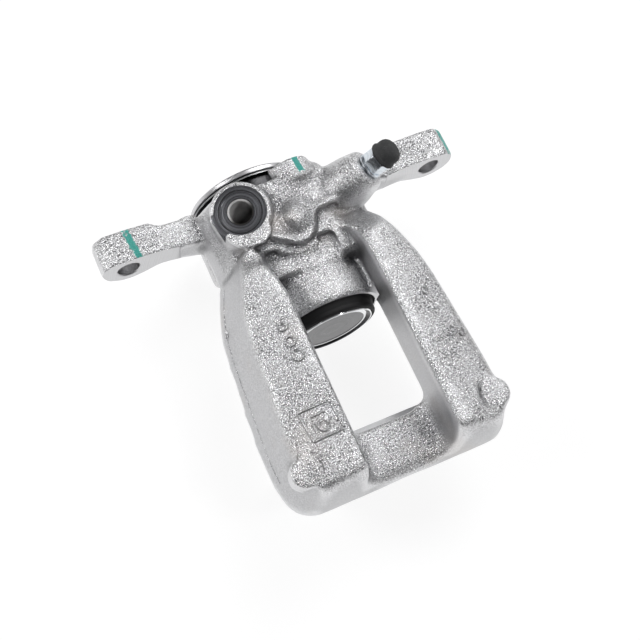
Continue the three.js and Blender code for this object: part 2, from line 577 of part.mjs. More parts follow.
// The spindle: threaded shank, thrust flange, journal, circlip groove and drive end.
function buildSpindle() {
  const grooveY = CIRCLIP_Y - SEAT_GAP / 2;
  const grooveEnd = CIRCLIP_Y + CIRCLIP_WIDTH + SEAT_GAP / 2;
  const shaft = turned([
    [0, SPINDLE_TIP_Y], [SPINDLE_RADIUS - 1, SPINDLE_TIP_Y], [SPINDLE_RADIUS, SPINDLE_TIP_Y + 1],
    [SPINDLE_RADIUS, SPINDLE_FLANGE_Y], [SPINDLE_FLANGE_RADIUS, SPINDLE_FLANGE_Y],
    [SPINDLE_FLANGE_RADIUS, SPINDLE_FLANGE_Y + SPINDLE_FLANGE_WIDTH],
    [SPINDLE_RADIUS, SPINDLE_FLANGE_Y + SPINDLE_FLANGE_WIDTH], [SPINDLE_RADIUS, grooveY],
    [SPINDLE_RADIUS - CIRCLIP_BITE, grooveY], [SPINDLE_RADIUS - CIRCLIP_BITE, grooveEnd],
    [SPINDLE_RADIUS, grooveEnd], [SPINDLE_RADIUS, DRIVE_Y], [0, DRIVE_Y],
  ], 32);
  const lobes = new THREE.Shape();
  const steps = 36;
  for (let i = 0; i < steps; i += 1) {
    const turn = (i / steps) * 2 * Math.PI;
    const radius = DRIVE_RADIUS + 0.35 * Math.cos(6 * turn);
    const x = radius * Math.cos(turn);
    const y = radius * Math.sin(turn);
    if (i === 0) lobes.moveTo(x, y);
    else lobes.lineTo(x, y);
  }
  return join(shaft, prismY(lobes, DRIVE_Y - 0.2, DRIVE_Y + DRIVE_LENGTH));
}

// The nut: round with two flats that the piston's keyed skirt holds from turning.
function buildNut() {
  const flat = PISTON_KEY_FLAT - SEAT_GAP;
  const round = turned([
    [0, NUT_Y], [NUT_RADIUS - 3, NUT_Y], [NUT_RADIUS, NUT_Y + 3],
    [NUT_RADIUS, NUT_Y + NUT_LENGTH], [0, NUT_Y + NUT_LENGTH],
  ], 40);
  const flats = block(-NUT_RADIUS, NUT_RADIUS, NUT_Y - 1, NUT_Y + NUT_LENGTH + 1, -flat, flat);
  const thread = drum(SPINDLE_RADIUS + THREAD_GAP, NUT_Y - 1, NUT_Y + NUT_LENGTH + 1, 32);
  return cut(round.intersect(flats), thread);
}

const washer = (y) => ring(WASHER_BORE, SPINDLE_FLANGE_RADIUS, y, y + WASHER_WIDTH, 36);

// Where ball number i sits on the bearing's circle.
function ballCentre(i) {
  const turn = (i / BALL_COUNT) * 2 * Math.PI;
  return new THREE.Vector3(
    BALL_CIRCLE_RADIUS * Math.cos(turn), BALL_Y, BALL_CIRCLE_RADIUS * Math.sin(turn),
  );
}

const ballSolid = (i, radius, columns, rows) => {
  const { x, y, z } = ballCentre(i);
  return toSolid(new THREE.SphereGeometry(radius, columns, rows).translate(x, y, z));
};

function buildCage() {
  const reach = BALL_RADIUS + CAGE_WALL;
  const band = ring(BALL_CIRCLE_RADIUS - reach, BALL_CIRCLE_RADIUS + reach,
    BALL_Y - CAGE_WIDTH / 2, BALL_Y + CAGE_WIDTH / 2, 40);
  const pockets = Array.from({ length: BALL_COUNT }, (_, i) => {
    const { x, z } = ballCentre(i);
    return drum(BALL_RADIUS + BALL_GAP, BALL_Y - CAGE_WIDTH, BALL_Y + CAGE_WIDTH, 16, x, z);
  });
  return cut(band, ...pockets);
}

const buildBush = () => ring(SPINDLE_RADIUS + RUN_GAP, BUSH_RADIUS, BUSH_Y, BUSH_Y + BUSH_LENGTH, 36);

// The shaft seal is a round-section ring in its groove in the back wall.
function buildShaftSeal() {
  const half = SHAFT_SEAL_SECTION / 2;
  const centre = SPINDLE_RADIUS + RUN_GAP + half;
  const y = SHAFT_SEAL_Y + SEAT_GAP + half;
  const section = Array.from({ length: 13 }, (_, i) => {
    const turn = (i / 12) * 2 * Math.PI;
    return [centre + half * Math.cos(turn), y + half * Math.sin(turn)];
  });
  return turned(section, 32);
}

const buildSpacer = () => ring(SPINDLE_RADIUS + SEAT_GAP, SPINDLE_RADIUS + 3,
  SPACER_Y, SPACER_Y + SPACER_WIDTH, 32);

// The circlip is an open ring: its mouth is as wide as the spindle is thick, less a bite.
function buildCirclip() {
  const inner = SPINDLE_RADIUS - CIRCLIP_BITE + RUN_GAP;
  const outer = SPINDLE_RADIUS + CIRCLIP_REACH;
  const whole = ring(inner, outer, CIRCLIP_Y, CIRCLIP_Y + CIRCLIP_WIDTH, 36);
  const mouth = block(-SPINDLE_RADIUS * 0.6, SPINDLE_RADIUS * 0.6, CIRCLIP_Y - 1,
    CIRCLIP_Y + CIRCLIP_WIDTH + 1, 0, outer + 1);
  return cut(whole, mouth);
}

// The bleeder screw: cone tip, threaded shank, seat flange, hexagon and hollow nipple.
function buildBleeder() {
  const shank = BLEED_THREAD_RADIUS - THREAD_GAP;
  const tip = -BLEED_THREAD_DEPTH + SEAT_GAP;
  const flangeTop = SEAT_GAP + BLEED_FLANGE_HEIGHT;
  const hexTop = flangeTop + BLEED_HEX_HEIGHT;
  const core = turnedAlong([
    [0, tip - 1], [shank - 2, tip], [shank, tip + 3], [shank, SEAT_GAP],
    [BLEED_FLANGE_RADIUS, SEAT_GAP], [BLEED_FLANGE_RADIUS, flangeTop],
    [NIPPLE_RADIUS, flangeTop + 0.4], [NIPPLE_RADIUS, hexTop + 1],
    [NIPPLE_RADIUS - 0.5, hexTop + 2], [NIPPLE_RADIUS, hexTop + NIPPLE_LENGTH - 1.6],
    [NIPPLE_RADIUS - 0.9, hexTop + NIPPLE_LENGTH], [0, hexTop + NIPPLE_LENGTH],
  ], bleedOrigin, bleedAxis, 28);
  const hex = new THREE.CylinderGeometry(
    BLEED_HEX_FLATS / Math.sqrt(3), BLEED_HEX_FLATS / Math.sqrt(3), BLEED_HEX_HEIGHT, 6,
  ).translate(0, flangeTop + BLEED_HEX_HEIGHT / 2, 0);
  const bore = rod(0.9, bleedOrigin, bleedAxis, tip + 4, hexTop + NIPPLE_LENGTH + 1, 12);
  const cross = rod(0.8, bleedOrigin.clone().addScaledVector(bleedAxis, tip + 4.6),
    new THREE.Vector3(0, 1, 0), -BLEED_THREAD_RADIUS - 1, BLEED_THREAD_RADIUS + 1, 12);
  return cut(join(core, toSolid(placeAlong(hex, bleedOrigin, bleedAxis))), bore, cross);
}

// The rubber cap pushed over the nipple down to the hexagon.
function buildCap() {
  const base = SEAT_GAP + BLEED_FLANGE_HEIGHT + BLEED_HEX_HEIGHT + SEAT_GAP;
  const top = base + CAP_LENGTH;
  const pocket = base + NIPPLE_LENGTH + SEAT_GAP;
  const inner = NIPPLE_RADIUS + RUN_GAP;
  return turnedAlong([
    [inner, base], [CAP_LIP_RADIUS - 0.4, base], [CAP_LIP_RADIUS, base + 0.5],
    [CAP_LIP_RADIUS, base + CAP_LIP_LENGTH - 0.4], [CAP_RADIUS, base + CAP_LIP_LENGTH],
    [CAP_RADIUS, top - 3.2], [CAP_RADIUS - 0.7, top - 1.6], [CAP_RADIUS - 2.4, top - 0.4],
    [0, top], [0, pocket], [inner, pocket], [inner, base],
  ], bleedOrigin, bleedAxis, 28);
}

// ----------------------------------------------------------------- assembly
const caliper = new THREE.Group();
caliper.add(
  meshOf('caliper_housing', buildHousing(), castAluminium),
  meshOf('piston', buildPiston(), chromedSteel),
  meshOf('piston_seal', buildSeal(), blackRubber),
  meshOf('dust_boot', buildBoot(), blackRubber),
  meshOf('parking_spindle', buildSpindle(), turnedSteel),
  meshOf('spindle_nut', buildNut(), turnedSteel),
  meshOf('thrust_washer_front', washer(FRONT_WASHER_Y), bearingSteel),
  meshOf('thrust_washer_rear', washer(REAR_WASHER_Y), bearingSteel),
  meshOf('ball_cage', buildCage(), cageNylon),
  meshOf('spindle_bush', buildBush(), bronze),
  meshOf('spindle_seal', buildShaftSeal(), blackRubber),
  meshOf('spindle_spacer', buildSpacer(), bearingSteel),
  meshOf('spindle_circlip', buildCirclip(), turnedSteel),
  meshOf('bleeder_screw', buildBleeder(), zincSteel),
  meshOf('bleeder_cap', buildCap(), blackRubber),
);
for (let i = 0; i < BALL_COUNT; i += 1) {
  const name = `thrust_ball_${String(i + 1).padStart(2, '0')}`;
  caliper.add(meshOf(name, ballSolid(i, BALL_RADIUS, 12, 8), bearingSteel));
}

export default caliper;
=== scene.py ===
"""Floating rear brake caliper: castings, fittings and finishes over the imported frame."""
import logging
import math
from dataclasses import dataclass
from enum import Enum
from typing import Callable, Iterable, Sequence

import bmesh
import bpy
import numpy as np
from mathutils import Matrix, Vector, noise
from mathutils.bvhtree import BVHTree


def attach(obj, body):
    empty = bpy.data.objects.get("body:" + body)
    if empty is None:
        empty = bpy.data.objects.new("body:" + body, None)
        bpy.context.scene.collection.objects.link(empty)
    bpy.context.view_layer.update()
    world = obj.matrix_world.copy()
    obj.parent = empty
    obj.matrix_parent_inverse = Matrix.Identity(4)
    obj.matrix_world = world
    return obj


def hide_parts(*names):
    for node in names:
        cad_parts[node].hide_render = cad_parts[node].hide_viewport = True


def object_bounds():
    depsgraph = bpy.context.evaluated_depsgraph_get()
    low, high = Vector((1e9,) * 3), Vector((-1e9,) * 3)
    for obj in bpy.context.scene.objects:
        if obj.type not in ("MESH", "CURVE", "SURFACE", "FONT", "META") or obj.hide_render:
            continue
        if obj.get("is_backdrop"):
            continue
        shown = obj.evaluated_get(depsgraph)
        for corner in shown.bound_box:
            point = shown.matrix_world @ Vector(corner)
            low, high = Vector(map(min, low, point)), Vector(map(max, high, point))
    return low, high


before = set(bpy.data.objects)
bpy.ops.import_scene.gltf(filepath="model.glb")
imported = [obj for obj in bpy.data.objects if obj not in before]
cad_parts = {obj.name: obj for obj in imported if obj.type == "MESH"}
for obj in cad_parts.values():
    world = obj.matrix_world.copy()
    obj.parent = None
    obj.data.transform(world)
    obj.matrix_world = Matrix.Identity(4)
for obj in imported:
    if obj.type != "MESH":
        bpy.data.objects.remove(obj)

logging.basicConfig(level=logging.INFO, format="%(levelname)s %(message)s")
log = logging.getLogger("caliper")

MM = 0.001
Point = tuple[float, float, float]
Profile = Sequence[tuple[float, float]]
PISTON_AXIS = Vector((0, 1, 0))


def mm(*values: float) -> Vector:
    """Returns a vector in metres from millimetres."""
    return Vector(values) * MM


class Body(str, Enum):
    """The moving bodies that pieces ride on."""

    HOUSING = "housing_body"
    PISTON = "piston_body"
    BLEEDER = "bleeder_body"
    CAP = "cap_body"


class Skin(int, Enum):
    """The finishes on the housing, in the order of its material slots."""

    CAST = 0
    MACHINED = 1
    SEAT = 2
    BORE = 3


# ---------------------------------------------------------------------------
# mesh workshop
# ---------------------------------------------------------------------------


class Workshop:
    """Shapes meshes with bmesh operators, in metres from sizes in millimetres."""

    @staticmethod
    def along(origin: Point, axis: Vector) -> Matrix:
        """Returns the matrix that puts local +Z on an axis from a point.

        Args:
            origin: Where the local origin goes, in millimetres.
            axis: The direction that local +Z takes.

        Returns:
            A rigid 4x4 matrix in metres.
        """
        turn = axis.normalized().to_track_quat("Z", "Y").to_matrix().to_4x4()
        return Matrix.Translation(mm(*origin)) @ turn

    @staticmethod
    def spin(bm: bmesh.types.BMesh, profile: Profile, origin: Point, axis: Vector,
             steps: int = 96, closed: bool = False, skin: int = 0) -> list[bmesh.types.BMVert]:
        """Turns a profile of (radius, distance along the axis) into a closed skin.

        Args:
            bm: The mesh to add to.
            profile: Radii and distances in millimetres, from end to end.
            origin: The point on the axis that distances count from, in millimetres.
            axis: The axis to turn about.
            steps: How many facets go round.
            closed: True for a ring, whose profile joins its own start.
            skin: The material slot of the new faces.

        Returns:
            The new vertices.
        """
        before = set(bm.verts)
        old_faces = set(bm.faces)
        place = Workshop.along(origin, axis)
        verts = [bm.verts.new(place @ mm(r, 0, d)) for r, d in profile]
        pairs = list(zip(verts, verts[1:]))
        if closed:
            pairs.append((verts[-1], verts[0]))
        edges = [bm.edges.new(pair) for pair in pairs]
        bmesh.ops.spin(bm, geom=verts + edges, cent=mm(*origin), axis=axis.normalized(),
                       angle=math.tau, steps=steps, use_merge=True, use_duplicate=False)
        made = [v for v in bm.verts if v not in before]
        bmesh.ops.remove_doubles(bm, verts=made, dist=1e-7)
        made = [v for v in bm.verts if v not in before]
        faces = [f for f in bm.faces if f not in old_faces]
        bmesh.ops.recalc_face_normals(bm, faces=faces)
        for face in faces:
            face.material_index = skin
        return made

    @staticmethod
    def prism(bm: bmesh.types.BMesh, outline: Sequence[Point], push: Point,
              skin: int = 0) -> list[bmesh.types.BMVert]:
        """Extrudes a flat outline into a closed block.

        Args:
            bm: The mesh to add to.
            outline: The outline's corners in millimetres.
            push: How far and which way the outline is extruded, in millimetres.
            skin: The material slot of the new faces.

        Returns:
            The new vertices.
        """
        old_faces = set(bm.faces)
        face = bm.faces.new([bm.verts.new(mm(*p)) for p in outline])
        grown = bmesh.ops.extrude_face_region(bm, geom=[face], use_keep_orig=True)["geom"]
        moved = [g for g in grown if isinstance(g, bmesh.types.BMVert)]
        bmesh.ops.translate(bm, verts=moved, vec=mm(*push))
        faces = [f for f in bm.faces if f not in old_faces]
        bmesh.ops.recalc_face_normals(bm, faces=faces)
        for made in faces:
            made.material_index = skin
        return list(face.verts) + moved

    @staticmethod
    def box(bm: bmesh.types.BMesh, low: Point, high: Point,
            skin: int = 0) -> list[bmesh.types.BMVert]:
        """Adds a box between two corners in millimetres and returns its vertices."""
        size = [(h - l) * MM for l, h in zip(low, high)]
        centre = [(h + l) * MM / 2 for l, h in zip(low, high)]
        place = Matrix.Translation(centre) @ Matrix.Diagonal((*size, 1))
        made = bmesh.ops.create_cube(bm, size=1, matrix=place)["verts"]
        for face in {f for v in made for f in v.link_faces}:
            face.material_index = skin
        return made

    @staticmethod
    def loft(bm: bmesh.types.BMesh, rings: Sequence[Sequence[Point]]) -> None:
        """Joins rings with the same number of points into a closed skin.

        Args:
            bm: The mesh to add to.
            rings: The rings' points in millimetres, from one end to the other.
        """
        old_faces = set(bm.faces)
        loops = [[bm.verts.new(mm(*p)) for p in ring] for ring in rings]
        for low, high in zip(loops, loops[1:]):
            for i, vert in enumerate(low):
                bm.faces.new((vert, low[i - 1], high[i - 1], high[i]))
        bm.faces.new(loops[0])
        bm.faces.new(loops[-1])
        bmesh.ops.recalc_face_normals(bm, faces=[f for f in bm.faces if f not in old_faces])

    @staticmethod
    def bead(bm: bmesh.types.BMesh, ground: BVHTree, path: Sequence[Point], aim: Point,
             width: float, height: float, closed: bool = False) -> None:
        """Lays a rounded bead on a surface under a path.

        Args:
            bm: The mesh to add to.
            ground: The surface that the bead follows.
            path: Points off the surface, in millimetres.
            aim: The direction from the path to the surface.
            width: The bead's width in millimetres.
            height: How far it stands out, in millimetres.
            closed: True when the path ends where it starts.
        """
        spots = [ground.ray_cast(mm(*p), Vector(aim))[:2] for p in path]
        spots = [(place, up) for place, up in spots if place is not None]
        count = len(spots)
        section = ((-0.5, -0.4), (-0.38, 0.55), (-0.15, 1.0), (0.15, 1.0), (0.38, 0.55),
                   (0.5, -0.4))
        loops = []
        for i, (place, up) in enumerate(spots):
            after = spots[(i + 1) % count if closed else min(i + 1, count - 1)][0]
            before = spots[i - 1 if closed else max(i - 1, 0)][0]
            side = up.cross(after - before).normalized()
            loops.append([bm.verts.new(place + (side * (u * width) + up * (v * height)) * MM)
                          for u, v in section])
        old_faces = set(bm.faces)
        pairs = list(zip(loops, loops[1:]))
        if closed:
            pairs.append((loops[-1], loops[0]))
        else:
            bm.faces.new(loops[0])
            bm.faces.new(loops[-1])
        for low, high in pairs:
            for i, vert in enumerate(low):
                bm.faces.new((vert, low[i - 1], high[i - 1], high[i]))
        bmesh.ops.recalc_face_normals(bm, faces=[f for f in bm.faces if f not in old_faces])

    @staticmethod
    def trim(bm: bmesh.types.BMesh, place: Point, way: Point) -> None:
        """Cuts a mesh flat and closes the cut.

        Args:
            bm: The mesh to cut.
            place: A point of the cutting plane, in millimetres.
            way: The direction of the side that goes.
        """
        whole = list(bm.verts) + list(bm.edges) + list(bm.faces)
        cut = bmesh.ops.bisect_plane(bm, geom=whole, plane_co=mm(*place), plane_no=way,
                                     clear_outer=True)
        rim = [e for e in cut["geom_cut"] if isinstance(e, bmesh.types.BMEdge)]
        bmesh.ops.edgenet_fill(bm, edges=rim)

    @staticmethod
    def ball(bm: bmesh.types.BMesh, centre: Point, radii: Point) -> None:
        """Adds a ball with a radius for each direction, in millimetres."""
        place = Matrix.Translation(mm(*centre)) @ Matrix.Diagonal((*mm(*radii), 1))
        bmesh.ops.create_uvsphere(bm, u_segments=28, v_segments=16, radius=1, matrix=place)

    @staticmethod
    def finished(bm: bmesh.types.BMesh, name: str, materials: Iterable[bpy.types.Material],
                 crease: float = 32) -> bpy.types.Object:
        """Turns a bmesh into a smooth-shaded object with sharp creases.

        Args:
            bm: The mesh, which is freed.
            name: The object's name.
            materials: The materials for its slots.
            crease: The angle in degrees past which an edge is sharp.

        Returns:
            The object, linked to the scene.
        """
        mesh = bpy.data.meshes.new(name)
        bm.to_mesh(mesh)
        bm.free()
        for material in materials:
            mesh.materials.append(material)
        mesh.shade_smooth()
        mesh.set_sharp_from_angle(angle=math.radians(crease))
        made = bpy.data.objects.new(name, mesh)
        bpy.context.scene.collection.objects.link(made)
        return made

    @staticmethod
    def settle(piece: bpy.types.Object) -> None:
        """Applies an object's modifiers to its mesh."""
        graph = bpy.context.evaluated_depsgraph_get()
        applied = bpy.data.meshes.new_from_object(piece.evaluated_get(graph))
        applied.name = piece.name
        piece.modifiers.clear()
        piece.data = applied

    @staticmethod
    def carve(piece: bpy.types.Object, tool: bpy.types.Object) -> None:
        """Cuts a tool's shape out of a piece, with the tool's skins on the new faces.

        Args:
            piece: The object to cut.
            tool: The shape to take away, which is deleted.
        """
        cut = piece.modifiers.new("carve", "BOOLEAN")
        cut.operation = "DIFFERENCE"
        cut.solver = "EXACT"
        cut.object = tool
        Workshop.settle(piece)
        bpy.data.objects.remove(tool)


# ---------------------------------------------------------------------------
# shader groups
# ---------------------------------------------------------------------------


class Sheet:
    """Lays nodes out in one tree and wires them."""

    def __init__(self, tree: bpy.types.NodeTree) -> None:
        """Starts on a node tree."""
        self.tree = tree
        self.count = 0

    def node(self, kind: str, settings: dict | None = None, **inputs: object) -> bpy.types.Node:
        """Adds a node, sets its properties and feeds its inputs.

        Args:
            kind: The node's type name.
            settings: Property values of the node.
            **inputs: Values or sockets by input name, with underscores for spaces, or in0, in1
                and so on by place.

        Returns:
            The node.
        """
        made = self.tree.nodes.new(kind)
        made.location = (180 * (self.count % 9), -230 * (self.count // 9))
        self.count += 1
        for key, value in (settings or {}).items():
            setattr(made, key, value)
        for key, value in inputs.items():
            place = int(key[2:]) if key[:2] == "in" and key[2:].isdigit() else key.replace("_", " ")
            self.feed(made.inputs[place], value)
        return made

    def feed(self, socket: bpy.types.NodeSocket, value: object) -> None:
        """Links a socket to another one, or sets its value."""
        if isinstance(value, bpy.types.NodeSocket):
            self.tree.links.new(value, socket)
        else:
            socket.default_value = value

    def math(self, operation: str, *values: object, clamp: bool = False) -> bpy.types.NodeSocket:
        """Returns the result of a Math node on sockets or numbers."""
        made = self.node("ShaderNodeMath", {"operation": operation, "use_clamp": clamp})
        for socket, value in zip(made.inputs, values):
            self.feed(socket, value)
        return made.outputs[0]

    def vector(self, operation: str, *values: object) -> bpy.types.Node:
        """Returns a Vector Math node on sockets or vectors."""
        made = self.node("ShaderNodeVectorMath", {"operation": operation})
        for socket, value in zip(made.inputs, values):
            self.feed(socket, value)
        return made

    def band(self, value: object, low: float, high: float,
             to: tuple[float, float] = (0, 1)) -> bpy.types.NodeSocket:
        """Returns a value mapped smoothly from low and high to two other values."""
        made = self.node("ShaderNodeMapRange", {"interpolation_type": "SMOOTHSTEP"},
                         Value=value, From_Min=low, From_Max=high, To_Min=to[0], To_Max=to[1])
        return made.outputs["Result"]

    def mix(self, factor: object, a: object, b: object) -> bpy.types.NodeSocket:
        """Returns the mix of two colours."""
        made = self.node("ShaderNodeMix", {"data_type": "RGBA"})
        self.feed(made.inputs[0], factor)
        self.feed(made.inputs[6], a)
        self.feed(made.inputs[7], b)
        return made.outputs[2]

    def noise(self, where: object, scale: float, detail: float = 3, rough: float = 0.55,
              warp: float = 0) -> bpy.types.NodeSocket:
        """Returns a noise texture's value at a place."""
        made = self.node("ShaderNodeTexNoise", {"noise_dimensions": "3D"}, Vector=where,
                         Scale=scale, Detail=detail, Roughness=rough, Distortion=warp)
        return made.outputs["Fac"]


class EffectGroup:
    """A shader node group with named sockets, built once and used in several materials."""

    def __init__(self, name: str, inputs: dict[str, tuple[str, object]],
                 outputs: dict[str, str],
                 draw: Callable[[Sheet, bpy.types.Node, bpy.types.Node], None]) -> None:
        """Builds the group.

        Args:
            name: The group's name.
            inputs: Socket type and default value by input name.
            outputs: Socket type by output name.
            draw: Lays the nodes between the group's input and output nodes.
        """
        self.tree = bpy.data.node_groups.new(name, "ShaderNodeTree")
        for label, (kind, value) in inputs.items():
            socket = self.tree.interface.new_socket(label, in_out="INPUT", socket_type=kind)
            socket.default_value = value
        for label, kind in outputs.items():
            self.tree.interface.new_socket(label, in_out="OUTPUT", socket_type=kind)
        sheet = Sheet(self.tree)
        draw(sheet, sheet.node("NodeGroupInput"), sheet.node("NodeGroupOutput"))

    def place(self, sheet: Sheet, **inputs: object) -> bpy.types.Node:
        """Puts the group in a material with its own values and returns the node."""
        return sheet.node("ShaderNodeGroup", {"node_tree": self.tree}, **inputs)


def draw_cast_grain(sheet: Sheet, start: bpy.types.Node, end: bpy.types.Node) -> None:
    """Draws the dimpled, sparkling skin of a shot-blasted casting.

    Args:
        sheet: The group's nodes.
        start: The group's inputs: Vector, Size (metres) and Coarse (0 to 1).
        end: The group's outputs: Height, Pits and Fleck.
    """
    where = sheet.vector("DIVIDE", start.outputs["Vector"], start.outputs["Size"]).outputs[0]
    lump = sheet.noise(where, 1.0, 1, 0.5)
    grit = sheet.noise(where, 2.6, 1, 0.5)
    body = sheet.math("ADD", lump, sheet.math("MULTIPLY", grit, 0.45))
    coarse = sheet.math("MULTIPLY", body, start.outputs["Coarse"])
    sheet.feed(end.inputs["Height"], sheet.math("ADD", coarse, sheet.math("MULTIPLY", grit, 0.25)))
    sheet.feed(end.inputs["Pits"], sheet.band(body, 0.58, 0.74, (1, 0)))
    sheet.feed(end.inputs["Fleck"], sheet.band(body, 0.78, 0.90))


def draw_turned_rings(sheet: Sheet, start: bpy.types.Node, end: bpy.types.Node) -> None:
    """Draws the fine rings that a cutting tool leaves round an axis.

    Args:
        sheet: The group's nodes.
        start: The group's inputs: Vector, Centre, Axis and Pitch (metres).
        end: The group's outputs: Height, Radius (metres) and Streak.
    """
    away = sheet.vector("SUBTRACT", start.outputs["Vector"], start.outputs["Centre"]).outputs[0]
    depth = sheet.vector("DOT_PRODUCT", away, start.outputs["Axis"]).outputs["Value"]
    inward = sheet.node("ShaderNodeVectorMath", {"operation": "SCALE"})
    sheet.feed(inward.inputs[0], start.outputs["Axis"])
    sheet.feed(inward.inputs["Scale"], depth)
    flat = sheet.vector("SUBTRACT", away, inward.outputs[0]).outputs[0]
    radius = sheet.vector("LENGTH", flat).outputs["Value"]
    turn = sheet.math("DIVIDE", sheet.math("ADD", radius, sheet.math("MULTIPLY", depth, 0.73)),
                      start.outputs["Pitch"])
    line = sheet.node("ShaderNodeCombineXYZ", X=turn, Y=0.0, Z=0.0).outputs[0]
    streak = sheet.noise(line, 0.9, 3, 0.7)
    groove = sheet.math("SINE", sheet.math("MULTIPLY", turn, math.tau))
    low = sheet.math("MULTIPLY", groove, 0.25)
    sheet.feed(end.inputs["Height"], sheet.math("ADD", low, streak))
    sheet.feed(end.inputs["Radius"], radius)
    sheet.feed(end.inputs["Streak"], streak)


def draw_paint_dab(sheet: Sheet, start: bpy.types.Node, end: bpy.types.Node) -> None:
    """Draws the mask of one brushed dab of marking paint.

    Args:
        sheet: The group's nodes.
        start: The group's inputs: Vector, Centre, Half (metres) and Lean (x moved per y).
        end: The group's output: Mask.
    """
    away = sheet.vector("SUBTRACT", start.outputs["Vector"], start.outputs["Centre"]).outputs[0]
    parts = sheet.node("ShaderNodeSeparateXYZ", Vector=away).outputs
    x = sheet.math("SUBTRACT", parts[0], sheet.math("MULTIPLY", parts[1], start.outputs["Lean"]))
    half = sheet.node("ShaderNodeSeparateXYZ", Vector=start.outputs["Half"]).outputs
    ragged = sheet.noise(start.outputs["Vector"], 620, 4, 0.7)
    far = None
    for place, size in zip((x, parts[1], parts[2]), half):
        reach = sheet.math("DIVIDE", sheet.math("ABSOLUTE", place), size)
        far = reach if far is None else sheet.math("MAXIMUM", far, reach)
    edge = sheet.math("ADD", far, sheet.math("MULTIPLY", sheet.math("SUBTRACT", ragged, 0.5), 2.2))
    sheet.feed(end.inputs["Mask"], sheet.band(edge, 0.8, 1.02, (1, 0)))


def draw_dust(sheet: Sheet, start: bpy.types.Node, end: bpy.types.Node) -> None:
    """Draws the uneven bloom of dust and handling on a surface.

    Args:
        sheet: The group's nodes.
        start: The group's inputs: Vector and Amount (0 to 1).
        end: The group's outputs: Mask and Height.
    """
    cloud = sheet.noise(start.outputs["Vector"], 160, 5, 0.65, 0.5)
    speck = sheet.noise(start.outputs["Vector"], 2600, 2, 0.6)
    mask = sheet.math("MULTIPLY", sheet.band(cloud, 0.38, 0.72), sheet.band(speck, 0.35, 0.75))
    sheet.feed(end.inputs["Mask"], sheet.math("MULTIPLY", mask, start.outputs["Amount"]))
    sheet.feed(end.inputs["Height"], sheet.math("ADD", speck, sheet.math("MULTIPLY", cloud, 0.4)))


class Effects:
    """The shader groups that the finishes share."""

    def __init__(self) -> None:
        """Builds every group."""
        vec, num = "NodeSocketVector", "NodeSocketFloat"
        zero = (0.0, 0.0, 0.0)
        self.grain = EffectGroup(
            "cast_grain", {"Vector": (vec, zero), "Size": (vec, (0.001,) * 3),
                           "Coarse": (num, 1.0)},
            {"Height": num, "Pits": num, "Fleck": num}, draw_cast_grain)
        self.rings = EffectGroup(
            "turned_rings", {"Vector": (vec, zero), "Centre": (vec, zero),
                             "Axis": (vec, (0.0, 1.0, 0.0)), "Pitch": (num, 0.0006)},
            {"Height": num, "Radius": num, "Streak": num}, draw_turned_rings)
        self.dab = EffectGroup(
            "paint_dab", {"Vector": (vec, zero), "Centre": (vec, zero),
                          "Half": (vec, (0.001,) * 3), "Lean": (num, 0.0)},
            {"Mask": num}, draw_paint_dab)
        self.dust = EffectGroup(
            "dust_bloom", {"Vector": (vec, zero), "Amount": (num, 0.5)},
            {"Mask": num, "Height": num}, draw_dust)


# ---------------------------------------------------------------------------
# finishes
# ---------------------------------------------------------------------------


def new_material(name: str) -> tuple[bpy.types.Material, Sheet, bpy.types.Node,
                                     bpy.types.NodeSocket]:
    """Starts a material.

    Args:
        name: The material's name.

    Returns:
        The material, its sheet of nodes, its shader and the object coordinates.
    """
    material = bpy.data.materials.new(name)
    material.use_nodes = True
    material.node_tree.nodes.clear()
    sheet = Sheet(material.node_tree)
    shader = sheet.node("ShaderNodeBsdfPrincipled")
    output = sheet.node("ShaderNodeOutputMaterial")
    sheet.feed(output.inputs["Surface"], shader.outputs[0])
    where = sheet.node("ShaderNodeTexCoord").outputs["Object"]
    return material, sheet, shader, where


@dataclass(frozen=True)
class PaintDab:
    """One dab of marking paint: its centre, half sizes and lean, in millimetres."""

    centre: Point
    half: Point
    lean: float = 0.0


